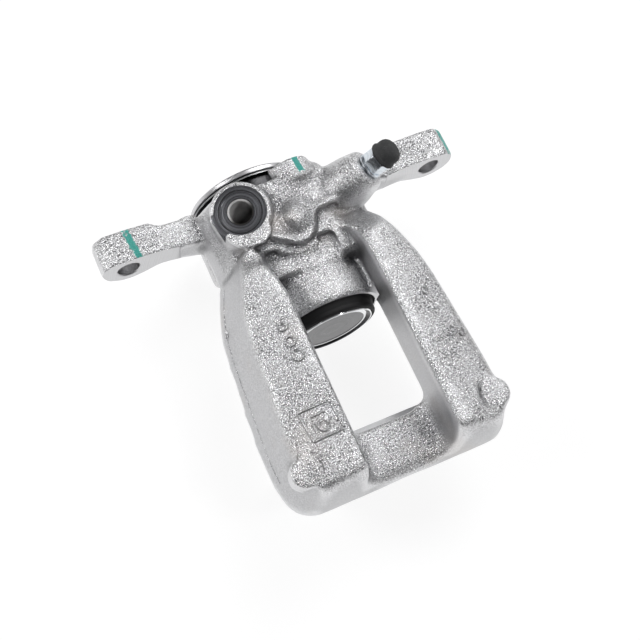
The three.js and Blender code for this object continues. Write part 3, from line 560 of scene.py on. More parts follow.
@dataclass(frozen=True)
class CastFinish:
    """Shot-blasted cast aluminium with its marking paint, painted shade on its sides and in
    hollows, and painted highlights on proud edges.
    """

    light: tuple[float, float, float, float] = (0.70, 0.70, 0.71, 1)
    # side: painted shade, since surfaces that face sideways are coloured darker than the tops for
    # how the light falls.
    side: tuple[float, float, float, float] = (0.55, 0.55, 0.56, 1)
    # dark: painted shade for the hollows.
    dark: tuple[float, float, float, float] = (0.13, 0.13, 0.135, 1)
    pit: tuple[float, float, float, float] = (0.10, 0.10, 0.105, 1)
    # edge: painted highlight for the proud edges.
    edge: tuple[float, float, float, float] = (0.95, 0.95, 0.96, 1)
    fleck: tuple[float, float, float, float] = (0.97, 0.97, 0.98, 1)
    warm: tuple[float, float, float, float] = (0.56, 0.50, 0.45, 1)
    paint: tuple[float, float, float, float] = (0.06, 0.42, 0.36, 1)
    grain_mm: float = 0.55
    bump: float = 0.9
    depth_mm: float = 0.24
    dabs: tuple[PaintDab, ...] = (
        PaintDab((-68.7, 59.4, 17.0), (1.5, 9.2, 4.0), -0.13),
        PaintDab((82.6, 62.5, 14.5), (1.3, 9.0, 5.5)),
        PaintDab((8.4, 65.5, 31.0), (1.3, 4.2, 3.0), -0.1),
    )

    def make(self, effects: Effects) -> bpy.types.Material:
        """Returns the material."""
        material, sheet, shader, where = new_material("cast_aluminium")
        size = self.grain_mm * MM
        normal = sheet.node("ShaderNodeTexCoord").outputs["Normal"]
        upward = sheet.node("ShaderNodeSeparateXYZ", Vector=normal).outputs[2]
        patch = sheet.noise(where, 55, 3, 0.6)
        facing = sheet.band(upward, 0.15, 0.95)
        coarse = sheet.math("MULTIPLY", sheet.math("ADD", facing, 0.12),
                            sheet.band(patch, 0.25, 0.7, (0.6, 1.1)))
        painted_shading = sheet.node("ShaderNodeAttribute", {"attribute_name": "painted_shading"}).outputs["Fac"]
        grain = effects.grain.place(sheet, Vector=where, Size=(size,) * 3, Coarse=coarse).outputs
        pits = sheet.math("MULTIPLY", grain["Pits"], sheet.math("ADD", sheet.math(
            "MULTIPLY", coarse, 0.85), 0.02), clamp=True)
        # Painted shade: surfaces that face sideways take the darker side colour.
        colour = sheet.mix(facing, self.side, self.light)
        # Painted shade darkens the hollows, then a painted highlight lightens the proud edges, from
        # the casting's point value.
        colour = sheet.mix(sheet.band(painted_shading, 0.05, 0.9, (0.0, 0.72)), colour, self.dark)
        colour = sheet.mix(sheet.band(painted_shading, -1.0, -0.4, (0.5, 0.0)), colour, self.edge)
        colour = sheet.mix(pits, colour, self.pit)
        colour = sheet.mix(sheet.math("MULTIPLY", sheet.band(sheet.noise(where, 38, 2), 0.55, 0.8),
                                      0.35), colour, self.warm)
        colour = sheet.mix(sheet.math("MULTIPLY", grain["Fleck"], sheet.math(
            "MULTIPLY", coarse, 0.8), clamp=True), colour, self.fleck)
        painted = None
        for dab in self.dabs:
            mask = effects.dab.place(sheet, Vector=where, Centre=mm(*dab.centre),
                                     Half=mm(*dab.half), Lean=dab.lean).outputs["Mask"]
            painted = mask if painted is None else sheet.math("MAXIMUM", painted, mask)
        sheet.feed(shader.inputs["Base Color"], sheet.mix(painted, colour, self.paint))
        bare = sheet.math("SUBTRACT", 1.0, painted)
        sheet.feed(shader.inputs["Metallic"], sheet.math("MULTIPLY", bare, 0.97))
        rough = sheet.math("SUBTRACT", sheet.band(facing, 0, 1, (0.44, 0.29)), sheet.math(
            "MULTIPLY", grain["Fleck"], 0.12))
        sheet.feed(shader.inputs["Roughness"], sheet.math("ADD", rough, sheet.math(
            "MULTIPLY", painted, 0.05)))
        bump = sheet.node("ShaderNodeBump", Strength=self.bump, Distance=self.depth_mm * MM,
                          Height=grain["Height"])
        sheet.feed(shader.inputs["Normal"], bump.outputs[0])
        return material


@dataclass(frozen=True)
class TurnedFinish:
    """Metal with the rings of the tool that cut it round one axis, and an optional side in painted
    shade.
    """

    name: str
    light: tuple[float, float, float, float]
    dark: tuple[float, float, float, float]
    centre: Point = (0.0, 0.0, 0.0)
    axis: Point = (0.0, 1.0, 0.0)
    pitch_mm: float = 0.5
    roughness: float = 0.3
    bump: float = 0.25
    dust: float = 0.15
    metal: float = 1.0
    # The direction of the hole's lit side; the other side is painted shade.
    painted_lit_side: Point | None = None

    def make(self, effects: Effects) -> bpy.types.Material:
        """Returns the material."""
        material, sheet, shader, where = new_material(self.name)
        rings = effects.rings.place(sheet, Vector=where, Centre=mm(*self.centre),
                                    Axis=Vector(self.axis).normalized(),
                                    Pitch=self.pitch_mm * MM).outputs
        dust = effects.dust.place(sheet, Vector=where, Amount=self.dust).outputs
        colour = sheet.mix(sheet.band(rings["Streak"], 0.3, 0.7), self.dark, self.light)
        colour = sheet.mix(dust["Mask"], colour, (0.62, 0.61, 0.60, 1))
        if self.painted_lit_side:
            # Painted shade: the side of the hole away from this direction is painted near-black, as
            # the light misses it.
            away = sheet.vector("SUBTRACT", where, mm(*self.centre)).outputs[0]
            across = sheet.vector("DOT_PRODUCT", away, Vector(self.painted_lit_side)).outputs["Value"]
            colour = sheet.mix(sheet.band(across, -2.0 * MM, 3.2 * MM), (0.02, 0.018, 0.016, 1),
                               colour)
        sheet.feed(shader.inputs["Base Color"], colour)
        shader.inputs["Metallic"].default_value = self.metal
        sheet.feed(shader.inputs["Roughness"], sheet.math("ADD", sheet.math(
            "MULTIPLY", dust["Mask"], 0.3), sheet.band(
                rings["Streak"], 0.3, 0.7, (self.roughness * 0.8, self.roughness * 1.25))))
        bump = sheet.node("ShaderNodeBump", Strength=self.bump, Distance=0.08 * MM,
                          Height=rings["Height"])
        sheet.feed(shader.inputs["Normal"], bump.outputs[0])
        return material


@dataclass(frozen=True)
class MouldedFinish:
    """Moulded rubber or nylon with a bloom of dust."""

    name: str
    colour: tuple[float, float, float, float]
    bloom: tuple[float, float, float, float]
    roughness: float = 0.6
    dust: float = 0.4
    bump: float = 0.25

    def make(self, effects: Effects) -> bpy.types.Material:
        """Returns the material."""
        material, sheet, shader, where = new_material(self.name)
        dust = effects.dust.place(sheet, Vector=where, Amount=self.dust).outputs
        sheet.feed(shader.inputs["Base Color"], sheet.mix(dust["Mask"], self.colour, self.bloom))
        sheet.feed(shader.inputs["Roughness"], sheet.math("ADD", sheet.math(
            "MULTIPLY", dust["Mask"], 0.25), self.roughness))
        bump = sheet.node("ShaderNodeBump", Strength=self.bump, Distance=0.06 * MM,
                          Height=dust["Height"])
        sheet.feed(shader.inputs["Normal"], bump.outputs[0])
        return material


PORT_CENTRE: Point = (-23.1, 53.5, 30.0)
PORT_AXIS: Point = (-0.270493, -0.140774, 0.952375)
BLEED_CENTRE: Point = (36.2, 52.3, 34.0)
BLEED_AXIS: Point = (0.669131, 0.0, 0.743145)


class Finishes:
    """Every material of the caliper, made once."""

    def __init__(self) -> None:
        """Makes the materials."""
        fx = Effects()
        self.cast = CastFinish().make(fx)
        self.machined = TurnedFinish(
            "machined_aluminium", (0.70, 0.70, 0.71, 1), (0.52, 0.52, 0.53, 1),
            axis=(0, 1, 0), pitch_mm=0.35, roughness=0.34, bump=0.12).make(fx)
        # The spotfaced seat is a darkened copy of machined aluminium: painted dark reflection.
        self.seat = TurnedFinish(
            "spotfaced_seat", (0.30, 0.305, 0.325, 1), (0.05, 0.05, 0.053, 1), PORT_CENTRE,
            PORT_AXIS, pitch_mm=0.8, roughness=0.28, bump=0.6, dust=0.08).make(fx)
        # The tapped bore is painted near-white and non-metallic: painted light on the hole's lit
        # wall.
        self.bore = TurnedFinish(
            "tapped_bore", (0.93, 0.92, 0.91, 1), (0.85, 0.84, 0.83, 1), PORT_CENTRE,
            PORT_AXIS, pitch_mm=1.0, roughness=0.4, bump=0.05, dust=0.05, metal=0.0,
            painted_lit_side=(-0.40, 0.90, 0.17)).make(fx)
        # Painted shade: a near-black finish for the flange's neck and the piston's nose ring,
        # standing in for dark reflections.
        self.shade = TurnedFinish(
            "painted_shade_turned", (0.05, 0.05, 0.052, 1), (0.02, 0.02, 0.022, 1), pitch_mm=0.6,
            roughness=0.2, dust=0.08).make(fx)
        # The piston's face is a darkened copy of the chrome: painted dark reflection.
        self.disc = TurnedFinish(
            "piston_face", (0.15, 0.15, 0.154, 1), (0.07, 0.07, 0.073, 1), pitch_mm=2.6,
            roughness=0.22, bump=0.08, dust=0.1).make(fx)
        self.chrome = TurnedFinish(
            "chromed_piston", (0.86, 0.87, 0.88, 1), (0.78, 0.79, 0.80, 1), pitch_mm=0.25,
            roughness=0.09, bump=0.03, dust=0.12).make(fx)
        self.steel = TurnedFinish(
            "turned_steel", (0.58, 0.59, 0.61, 1), (0.36, 0.37, 0.39, 1), pitch_mm=0.5,
            roughness=0.3).make(fx)
        self.bearing = TurnedFinish(
            "ground_bearing_steel", (0.72, 0.73, 0.75, 1), (0.58, 0.59, 0.61, 1),
            pitch_mm=0.3, roughness=0.16, bump=0.08).make(fx)
        self.bronze = TurnedFinish(
            "bush_bronze", (0.66, 0.46, 0.22, 1), (0.45, 0.29, 0.13, 1), pitch_mm=0.3,
            roughness=0.35).make(fx)
        self.zinc = TurnedFinish(
            "zinc_plate", (0.80, 0.84, 0.88, 1), (0.55, 0.60, 0.65, 1), BLEED_CENTRE,
            BLEED_AXIS, pitch_mm=0.7, roughness=0.24, bump=0.15).make(fx)
        self.boot = MouldedFinish(
            "boot_rubber", (0.004, 0.004, 0.0045, 1), (0.02, 0.02, 0.02, 1), 0.7, 0.12).make(fx)
        self.cap = MouldedFinish(
            "cap_rubber", (0.030, 0.031, 0.032, 1), (0.12, 0.12, 0.12, 1), 0.75, 0.7, 0.5).make(fx)
        self.nylon = MouldedFinish(
            "cage_nylon", (0.14, 0.12, 0.085, 1), (0.3, 0.28, 0.24, 1), 0.5, 0.3).make(fx)

    def housing_set(self) -> list[bpy.types.Material]:
        """Returns the housing's materials in the order of Skin."""
        return [self.cast, self.machined, self.seat, self.bore]


# ---------------------------------------------------------------------------
# housing
# ---------------------------------------------------------------------------


@dataclass
class Housing:
    """The casting: rounded, grained, then cut where the real one is machined."""

    voxel_mm: float = 1.0
    fine_voxel_mm: float = 0.92
    ripple_mm: float = 0.06
    bore_radius: float = 19.1
    bore_mouth: float = 22.9
    mouth_y: float = 4.5
    bore_end: float = 60.0
    hub_y: float = 68.0
    flange_y: float = 73.0
    flange_x: float = -9.5
    flange_radius: float = 28.0
    neck_radius: float = 25.4
    recess_radius: float = 23.5
    pin_x: float = 73.0
    pin_z: float = 10.2
    pin_radius: float = 5.0
    ear_front: float = 53.7
    ear_back: float = 68.5
    lug_radius: float = 2.6
    lug_face: float = 69.0
    lugs: tuple[tuple[float, float, float], ...] = ((9.07, 25.56, 59.0), (-28.07, -25.56, 46.5))
    finger_face: float = -49.0
    plateau_z: float = 29.5
    shelf_z: float = 26.0
    plateau_rim: tuple[tuple[float, float], ...] = (
        (-17.0, 42.0), (-15.6, 39.2), (-13.0, 37.3), (-10.1, 35.9), (-7.6, 33.9), (-5.2, 32.7),
        (-2.6, 32.4), (-0.3, 33.2), (2.0, 35.0), (3.7, 37.5), (5.0, 41.0), (7.4, 44.4),
        (12.0, 45.4), (17.9, 45.9), (24.0, 46.0),
    )
    shelf_rim: tuple[tuple[float, float], ...] = (
        (-17.5, 34.4), (-14.2, 32.9), (-10.7, 31.3), (-7.0, 29.8), (-3.4, 29.2), (0.5, 30.0),
        (3.6, 32.0), (6.4, 35.2), (8.8, 39.6),
    )
    ledge_rim: tuple[tuple[float, float], ...] = (
        (-33.2, 44.0), (-32.2, 40.6), (-29.8, 37.8), (-26.8, 36.7), (-20.0, 36.7), (-16.8, 38.6),
        (-14.8, 42.4),
    )
    ledge_z: float = 33.0
    pads: tuple[tuple[float, float, float, float], ...] = (
        (-43.6, -59.4, 32.9, 6.3), (41.8, -58.8, 32.9, 5.9),
    )
    frame_mark: tuple[float, float] = (-30.4, -43.4)
    frame_size: tuple[float, float] = (12.6, 12.8)
    dots: tuple[tuple[float, float, float], ...] = (
        (-28.7, -2.2, 1.6), (-28.3, -8.9, 2.0), (-27.7, -15.4, 2.2),
        (33.6, -8.6, 1.4), (36.2, -28.6, 1.9), (40.4, -30.4, 1.5),
    )
    parting_z: float = 11.5

    def fillers(self, bm: bmesh.types.BMesh) -> None:
        """Closes the machined holes, so that the casting can be rounded without them."""
        shop = Workshop
        shop.spin(bm, [(0, 3.7), (24.2, 3.7), (24.2, 12), (21, 16), (21, 66), (0, 68.4)],
                  (0, 0, 0), PISTON_AXIS, 48)
        shop.spin(bm, [(0, 64), (24.5, 67), (24.5, 72.6), (0, 72.6)],
                  (self.flange_x, 0, 0), PISTON_AXIS, 48)
        for side in (-1, 1):
            shop.spin(bm, [(0, self.ear_front), (6, self.ear_front), (6, self.ear_back),
                           (0, self.ear_back)], (side * self.pin_x, 0, self.pin_z),
                      PISTON_AXIS, 24)
        for x, z, front in self.lugs:
            shop.spin(bm, [(0, front), (4, front), (4, self.lug_face + 0.8),
                           (0, self.lug_face + 0.8)], (x, 0, z), PISTON_AXIS, 20)
        shop.spin(bm, [(0, -29), (6, -15), (12.6, -2), (12.6, 0.6), (0, 0.6)], PORT_CENTRE,
                  Vector(PORT_AXIS), 36)
        shop.spin(bm, [(0, -30), (6.4, -17), (6.4, 0), (0, 0)], BLEED_CENTRE,
                  Vector(BLEED_AXIS), 28)

    def stock(self, bm: bmesh.types.BMesh) -> None:
        """Adds the metal that machining takes off, and the casting's soft swellings."""
        shop = Workshop
        for side in (-1, 1):
            outline = [(50, 4.6), (58, 5.9), (66, 2.6), (72, 1.3), (77, 2.0), (82.2, 5.4),
                       (84.6, 9.6), (84.2, 14.6), (80, 18.6), (66, 18.6), (56, 17.6), (50, 15.5)]
            shop.prism(bm, [(side * x, self.ear_front + 3, z) for x, z in outline], (0, -4, 0))
            shop.prism(bm, [(side * 20, -72.4, 11), (side * 20, -72.4, 21),
                            (side * 17.4, -72.4, 14.8), (side * 12.5, -72.4, 11.4)],
                       (0, 25.5, 0))
            shop.ball(bm, (side * 34, 60.5, 6), (9, 7.4, 10))
        shop.ball(bm, (23.5, 49.5, 20.5), (11, 10, 9))
        shop.ball(bm, (40, -12, 12), (9, 34, 13))

    def hollows(self) -> bpy.types.Object:
        """Returns the hollows left in the sand: the saddle's fall and the dishes at the pads."""
        bm = bmesh.new()
        section = [(-20.5, 21.2), (-17, 22.8), (-10, 24.5), (-2, 25.1), (5, 24.9), (11.6, 23.4),
                   (11.6, 42), (-20.5, 42)]
        Workshop.prism(bm, [(x, 21.4, z) for x, z in section], (0, 12.2, 0))
        for x, y, top, radius in self.pads:
            Workshop.spin(bm, [(0, -1.0), (radius + 1.2, -1.0), (radius + 2.8, 2.6), (0, 2.6)],
                          (x, y, top), Vector((0, 0, 1)), 40)
        return Workshop.finished(bm, "hollows", [])

    def tube(self, bm: bmesh.types.BMesh, path: Sequence[tuple[float, float]], height: float,
             radius: float) -> None:
        """Lays a round rib along a level path.

        Args:
            bm: The mesh to add to.
            path: The places of the rib's middle, in millimetres.
            height: How high the rib's middle is.
            radius: The rib's radius.
        """
        rings = []
        for i, (x, y) in enumerate(path):
            before, after = path[max(i - 1, 0)], path[min(i + 1, len(path) - 1)]
            along = Vector((after[0] - before[0], after[1] - before[1], 0)).normalized()
            side = Vector((-along.y, along.x, 0))
            ring = []
            for step in range(10):
                turn = math.tau * step / 10
                away = side * (radius * math.cos(turn))
                ring.append((x + away.x, y + away.y, height + radius * math.sin(turn)))
            rings.append(ring)
        Workshop.loft(bm, rings)

    def terrace(self, bm: bmesh.types.BMesh, rim: Sequence[tuple[float, float]],
                back: Sequence[tuple[float, float]], low: float, high: float) -> None:
        """Adds a flat-topped step with a drawn-in front edge.

        Args:
            bm: The mesh to add to.
            rim: The front edge's places in millimetres, from one end to the other.
            back: The places that close the step's outline.
            low: The height of its underside.
            high: The height of its top.
        """
        outline = [*rim, *back]
        middle = Vector((sum(x for x, _ in outline), sum(y for _, y in outline))) / len(outline)
        rings = []
        for level, scale in ((low, 1.03), (high - 1.0, 1.0), (high, 0.965)):
            rings.append([(middle.x + (x - middle.x) * scale, middle.y + (y - middle.y) * scale,
                           level) for x, y in outline])
        Workshop.loft(bm, rings)

    def forms(self, bm: bmesh.types.BMesh) -> None:
        """Adds the forms that the pattern left sharper than the rest."""
        shop = Workshop
        self.terrace(bm, self.plateau_rim, [(28, 50), (26, 60), (12, 64), (-20, 64), (-28, 58),
                                            (-26, 46)], 15, self.plateau_z)
        self.tube(bm, self.plateau_rim[1:-1], self.plateau_z - 0.5, 1.5)
        self.terrace(bm, self.shelf_rim, [(8, 46), (-18, 46)], 15, self.shelf_z)
        self.tube(bm, self.shelf_rim[1:-2], self.shelf_z - 0.6, 1.3)
        self.terrace(bm, self.ledge_rim, [(-13.6, 52), (-33.4, 52)], 18, self.ledge_z)
        self.tube(bm, self.ledge_rim, self.ledge_z - 0.7, 1.25)
        # The centre boss leans to the left, with a half ring round its right side.
        cone = ((-0.8, 43.6, 27.0, 8.0), (-1.0, 43.5, 30.0, 7.5), (-2.2, 43.0, 32.3, 5.0),
                (-3.6, 42.5, 34.0, 2.6), (-4.4, 42.1, 34.5, 1.0))
        turns = [math.tau * k / 28 for k in range(28)]
        shop.loft(bm, [[(x + r * math.cos(t), y + r * math.sin(t), z) for t in turns]
                       for x, y, z, r in cone])
        arc = [(-0.8 + 6.6 * math.cos(math.radians(t)), 43.6 + 6.6 * math.sin(math.radians(t)))
               for t in range(-75, 111, 15)]
        self.tube(bm, arc, self.plateau_z + 0.1, 1.25)
        # The upper lug, whose front slopes down round its hole, and the knob beside it.
        front = [(-7.0, 20), (-5.8, 24.2), (-2.4, 25.8), (1.0, 27.4), (4.2, 28.4), (9, 28.6),
                 (12.6, 27.6), (14.4, 25.2), (14.6, 20)]
        full = [(-7.4, 20), (-6.4, 25.2), (-2.6, 27.8), (1.0, 30.6), (4.2, 32.2), (9, 32.7),
                (12.8, 31.2), (14.9, 27.6), (15.3, 20)]
        shop.loft(bm, [[(x, y, z) for x, z in outline] for y, outline in (
            (56.4, front), (60.4, full), (self.lug_face + 0.5, full))])
        shop.ball(bm, (15.9, 63.4, 25.0), (4.0, 4.0, 4.0))
        shop.ball(bm, (-26.8, 32.6, 27.6), (4.6, 3.8, 4.8))
        shop.ball(bm, (9.2, 41.0, 25.2), (2.2, 2.4, 2.6))
        shop.spin(bm, [(0, -27), (13.4, -23), (11.2, -9), (9.3, -1.4), (8.6, -0.6), (0, -0.6)],
                  BLEED_CENTRE, Vector(BLEED_AXIS), 48)
        for x, y, top, radius in self.pads:
            shop.spin(bm, [(0, -9), (radius + 0.2, -9), (radius, -0.4), (radius - 0.4, 0), (0, 0)],
                      (x, y, top), Vector((0, 0, 1)), 44)

    def rounded(self) -> bpy.types.Object:
        """Returns the casting before machining, rounded as the sand left it."""
        bm = bmesh.new()
        bm.from_mesh(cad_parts["caliper_housing"].data)
        bmesh.ops.remove_doubles(bm, verts=bm.verts, dist=2e-6)
        self.fillers(bm)
        self.stock(bm)
        casting = Workshop.finished(bm, "housing_casting", [])
        self.sand(casting, self.voxel_mm)
        self.soften(casting, 3, 18)
        Workshop.carve(casting, self.hollows())
        bm = bmesh.new()
        bm.from_mesh(casting.data)
        self.forms(bm)
        bm.to_mesh(casting.data)
        bm.free()
        self.sand(casting, self.fine_voxel_mm)
        self.soften(casting, 2, 1)
        self.ripple(casting)
        self.painted_shading(casting)
        return casting

    def painted_shading(self, casting: bpy.types.Object) -> None:
        """Records how hollow or proud the skin is, as a value that the cast finish turns into
        painted shading.

        The finish paints shade into hollows and a highlight onto proud edges; the value runs from
        1 in a hollow to -1 on an edge.

        Args:
            casting: The object whose points get the value.
        """
        mesh = casting.data
        count = len(mesh.vertices)
        start, normal = np.empty(count * 3), np.empty(count * 3)
        ends = np.empty(len(mesh.edges) * 2, dtype=np.int64)
        mesh.vertices.foreach_get("co", start)
        mesh.vertices.foreach_get("normal", normal)
        mesh.edges.foreach_get("vertices", ends)
        start, normal, ends = start.reshape(-1, 3), normal.reshape(-1, 3), ends.reshape(-1, 2)
        near, far = ends[:, 0], ends[:, 1]
        share = np.maximum(np.bincount(ends.ravel(), minlength=count), 1)
        value, place, done = np.zeros(count), start.copy(), 0
        for passes, full_mm in ((7, 0.55), (90, 1.7)):
            for _ in range(passes - done):
                place = np.stack([(np.bincount(near, place[far, k], count) + np.bincount(
                    far, place[near, k], count)) / share for k in range(3)], axis=1)
            done = passes
            sunk = np.einsum("ij,ij->i", place - start, normal) / (full_mm * MM)
            value += np.clip(sunk, -1.0, 1.0) * 0.7
        layer = mesh.attributes.new("painted_shading", "FLOAT", "POINT")
        layer.data.foreach_set("value", np.clip(value, -1.0, 1.0).astype(np.float32))

    def sand(self, casting: bpy.types.Object, voxel: float) -> None:
        """Joins everything in a mesh into one skin of small even faces.

        Args:
            casting: The object to remesh.
            voxel: The size of the faces in millimetres.
        """
        remesh = casting.modifiers.new("sand", "REMESH")
        remesh.mode = "VOXEL"
        remesh.voxel_size = voxel * MM
        Workshop.settle(casting)

    def soften(self, casting: bpy.types.Object, passes: int, more: int) -> None:
        """Rounds the casting's edges.

        Args:
            casting: The object to smooth.
            passes: How many times the whole mesh is smoothed.
            more: How many further times the arms are smoothed.
        """
        bm = bmesh.new()
        bm.from_mesh(casting.data)
        arms = [v for v in bm.verts if v.co.y < 0.030 and v.co.z > -0.002]
        for verts in [bm.verts] * passes + [arms] * more:
            bmesh.ops.smooth_vert(bm, verts=verts, factor=0.5, use_axis_x=True,
                                  use_axis_y=True, use_axis_z=True)
        bm.to_mesh(casting.data)
        bm.free()

    def ripple(self, casting: bpy.types.Object) -> None:
        """Gives the casting's skin the slight unevenness of sand."""
        bm = bmesh.new()
        bm.from_mesh(casting.data)
        bm.normal_update()
        for vert in bm.verts:
            swell = noise.noise(vert.co * 170) + 0.6 * noise.noise(vert.co * 420)
            vert.co += vert.normal * (swell * self.ripple_mm * MM)
        bm.to_mesh(casting.data)
        bm.free()

    def marks(self, casting: bpy.types.Object) -> bpy.types.Object:
        """Builds the plain raised marks: a frame, round dots, parting lines and a flash nub.

        Args:
            casting: The surface that the marks stand on.

        Returns:
            The marks as one object.
        """
        shape = bmesh.new()
        shape.from_mesh(casting.data)
        ground = BVHTree.FromBMesh(shape)
        shape.free()
        bm = bmesh.new()
        down = (0, 0, -1)
        x, y = self.frame_mark
        wide, long = self.frame_size[0] / 2, self.frame_size[1] / 2
        corners = [(x - wide - 0.6, y + long), (x + wide, y + long), (x + wide + 1.0, y - long),
                   (x - wide + 0.6, y - long), (x - wide - 0.6, y + long)]
        strokes = list(zip(corners, corners[1:]))
        strokes.append(((x - 2.8, y + 3.0), (x + 3.0, y + 3.2)))
        strokes.append(((x - 3.2, y - 3.6), (x - 3.0, y + 0.4)))
        for (ax, ay), (bx, by) in strokes:
            steps = 12
            path = [(ax + (bx - ax) * i / steps, ay + (by - ay) * i / steps, 60)
                    for i in range(steps + 1)]
            Workshop.bead(bm, ground, path, down, 1.4, 0.62)
        rings = [*self.dots, (x + 0.4, y - 2.0, 2.1)]
        for px, py, radius in rings:
            path = [(px + radius * math.cos(math.tau * k / 20),
                     py + radius * math.sin(math.tau * k / 20), 60) for k in range(20)]
            Workshop.bead(bm, ground, path, down, 1.5, 0.7, closed=True)
        for side in (-1, 1):
            path = [(side * 90, t, self.parting_z) for t in range(-56, 31, 2)]
            Workshop.bead(bm, ground, path, (-side, 0, 0), 0.8, 0.2)
            path = [(side * 90, 10.5 + t * 0.5, self.parting_z + 0.6) for t in range(-3, 4)]
            Workshop.bead(bm, ground, path, (-side, 0, 0), 2.6, 0.9)
        return Workshop.finished(bm, "casting_marks", [], 60)

    def seat_point(self, x: float, y: float) -> Point:
        """Returns the point of the port's machined seat at a place, in millimetres."""
        lean = Vector(PORT_AXIS)
        rise = -(lean.x * (x - PORT_CENTRE[0]) + lean.y * (y - PORT_CENTRE[1])) / lean.z
        return (x, y, PORT_CENTRE[2] + rise + 0.25)

    def cutters(self) -> bpy.types.Object:
        """Returns the shapes that machining takes away, each with the skin that it leaves."""
        bm = bmesh.new()
        shop = Workshop
        mouth, bore = self.bore_mouth, self.bore_radius
        shop.spin(bm, [(0, 1), (28, 1), (28, 7), (25.3, 5.4), (24.4, self.mouth_y),
                       (mouth, self.mouth_y), (mouth, 9.5), (bore, 9.5), (bore, 12.5),
                       (22, 12.5), (22, 16.1), (bore, 16.1), (bore, self.bore_end),
                       (5.3, self.bore_end), (5.3, 61.2), (7.6, 61.2), (7.6, 64.0), (6.6, 64.0),
                       (6.6, 67.9), (0, 67.9)],
                  (0, 0, 0), PISTON_AXIS, 96, skin=Skin.MACHINED)
        for side in (-1, 1):
            shop.box(bm, (min(side * 50, side * 92), 49, -8), (max(side * 50, side * 92),
                     self.ear_front, 21.5), skin=Skin.MACHINED)
        shop.box(bm, (-46, self.finger_face, -30), (46, -46, 3), skin=Skin.MACHINED)
        shop.spin(bm, [(0, -13.4), (1.9, -13.1), (3.5, -12.3), (4.6, -11.0), (4.95, -9.4),
                       (4.95, -0.7), (5.6, 0), (8.3, 0), (8.45, 0.12), (9.6, 0.12), (9.8, 0.3),
                       (11.4, 0.3), (11.5, 14), (0, 14)],
                  PORT_CENTRE, Vector(PORT_AXIS), 72, skin=Skin.SEAT)
        shop.spin(bm, [(0, -15.5), (4.9, -13), (4.9, -0.5), (5.5, 0.4), (5.5, 2), (0, 2)],
                  BLEED_CENTRE, Vector(BLEED_AXIS), 48, skin=Skin.MACHINED)
        for face in bm.faces:
            middle = face.calc_center_median() - mm(*PORT_CENTRE)
            deep = middle.dot(Vector(PORT_AXIS))
            if face.material_index == Skin.SEAT and deep < -0.0001:
                face.material_index = Skin.BORE
        return Workshop.finished(bm, "cutters", [])

    def second_cutters(self) -> bpy.types.Object:
        """Returns the cuts that cross the first ones: the recess, the holes and the lug faces."""
        bm = bmesh.new()
        shop, hole = Workshop, self.pin_radius
        shop.spin(bm, [(0, self.hub_y), (self.recess_radius, self.hub_y),
                       (self.recess_radius, self.lug_face), (45, self.lug_face), (45, 76),
                       (0, 76)],
                  (self.flange_x, 0, 0), PISTON_AXIS, 96, skin=Skin.MACHINED)
        for side in (-1, 1):
            shop.spin(bm, [(0, 50), (hole + 1.2, 50), (hole + 1.2, self.ear_front),
                           (hole + 0.5, self.ear_front), (hole, self.ear_front + 0.5),
                           (hole, self.ear_back - 0.5), (hole + 0.9, self.ear_back + 0.4),
                           (hole + 0.9, 74), (0, 74)],
                      (side * self.pin_x, 0, self.pin_z), PISTON_AXIS, 64, skin=Skin.MACHINED)
        flat = [(-40, 57), (-40, 44.2), (-33.4, 44.2), (-24, 44.4), (-24, 52), (-30, 57)]
        shop.prism(bm, [self.seat_point(x, y) for x, y in flat], (0, 0, 14), skin=Skin.SEAT)
        return Workshop.finished(bm, "cutters_two", [])

    def third_cutters(self) -> bpy.types.Object:
        """Returns the actuator's screw holes and the groove of the flange's neck."""
        bm = bmesh.new()
        neck, low = self.neck_radius, self.hub_y - 3.6
        Workshop.spin(bm, [(neck, low), (31, low), (31, 71), (neck, 71)], (self.flange_x, 0, 0),
                      PISTON_AXIS, 96, closed=True, skin=Skin.MACHINED)
        for place, way in (((-3.5, 0, 0), (1, 0, 0)), ((0, 0, -4), (0, 0, -1))):
            Workshop.trim(bm, place, way)
        bmesh.ops.recalc_face_normals(bm, faces=bm.faces)
        for x, z, front in self.lugs:
            Workshop.spin(bm, [(0, front - 6), (self.lug_radius, front - 6),
                               (self.lug_radius, 74), (0, 74)], (x, 0, z), PISTON_AXIS, 32,
                          skin=Skin.MACHINED)
        return Workshop.finished(bm, "cutters_three", [])

    def flange_lip(self, finishes: Finishes) -> bpy.types.Object:
        """Returns the turned lip that the actuator seats on, and its neck in painted shade."""
        bm = bmesh.new()
        face = self.flange_y
        inner, outer = self.recess_radius, self.flange_radius
        Workshop.spin(bm, [
            (inner, self.hub_y + 0.1), (inner, face - 1.1), (inner + 0.3, face - 0.6),
            (inner + 1.0, face), (outer - 0.9, face), (outer - 0.25, face - 0.25),
            (outer, face - 0.8), (outer, face - 2.1), (outer - 0.2, face - 2.4),
            (outer - 0.9, face - 2.5), (outer - 0.9, face - 2.95), (outer - 0.35, face - 3.1),
            (outer - 0.25, face - 3.4), (outer - 0.45, face - 3.7), (outer - 1.6, face - 4.0),
            (self.neck_radius + 0.12, face - 4.4), (self.neck_radius + 0.12, self.hub_y - 3.4),
            (inner + 0.2, self.hub_y - 3.6),
        ], (self.flange_x, 0, 0), PISTON_AXIS, 144, closed=True)
        axis = mm(self.flange_x, 0, 0)
        # The groove and neck faces take the painted shade finish.
        for made in bm.faces:
            middle = made.calc_center_median() - axis
            radius = math.hypot(middle.x, middle.z) / MM
            groove = middle.y / MM < face - 3.75 or (radius < outer - 0.6
                                                     and middle.y / MM < face - 2.4)
            made.material_index = 1 if groove and radius > inner + 0.5 else 0
        return Workshop.finished(bm, "flange_lip", [finishes.machined, finishes.shade], 24)

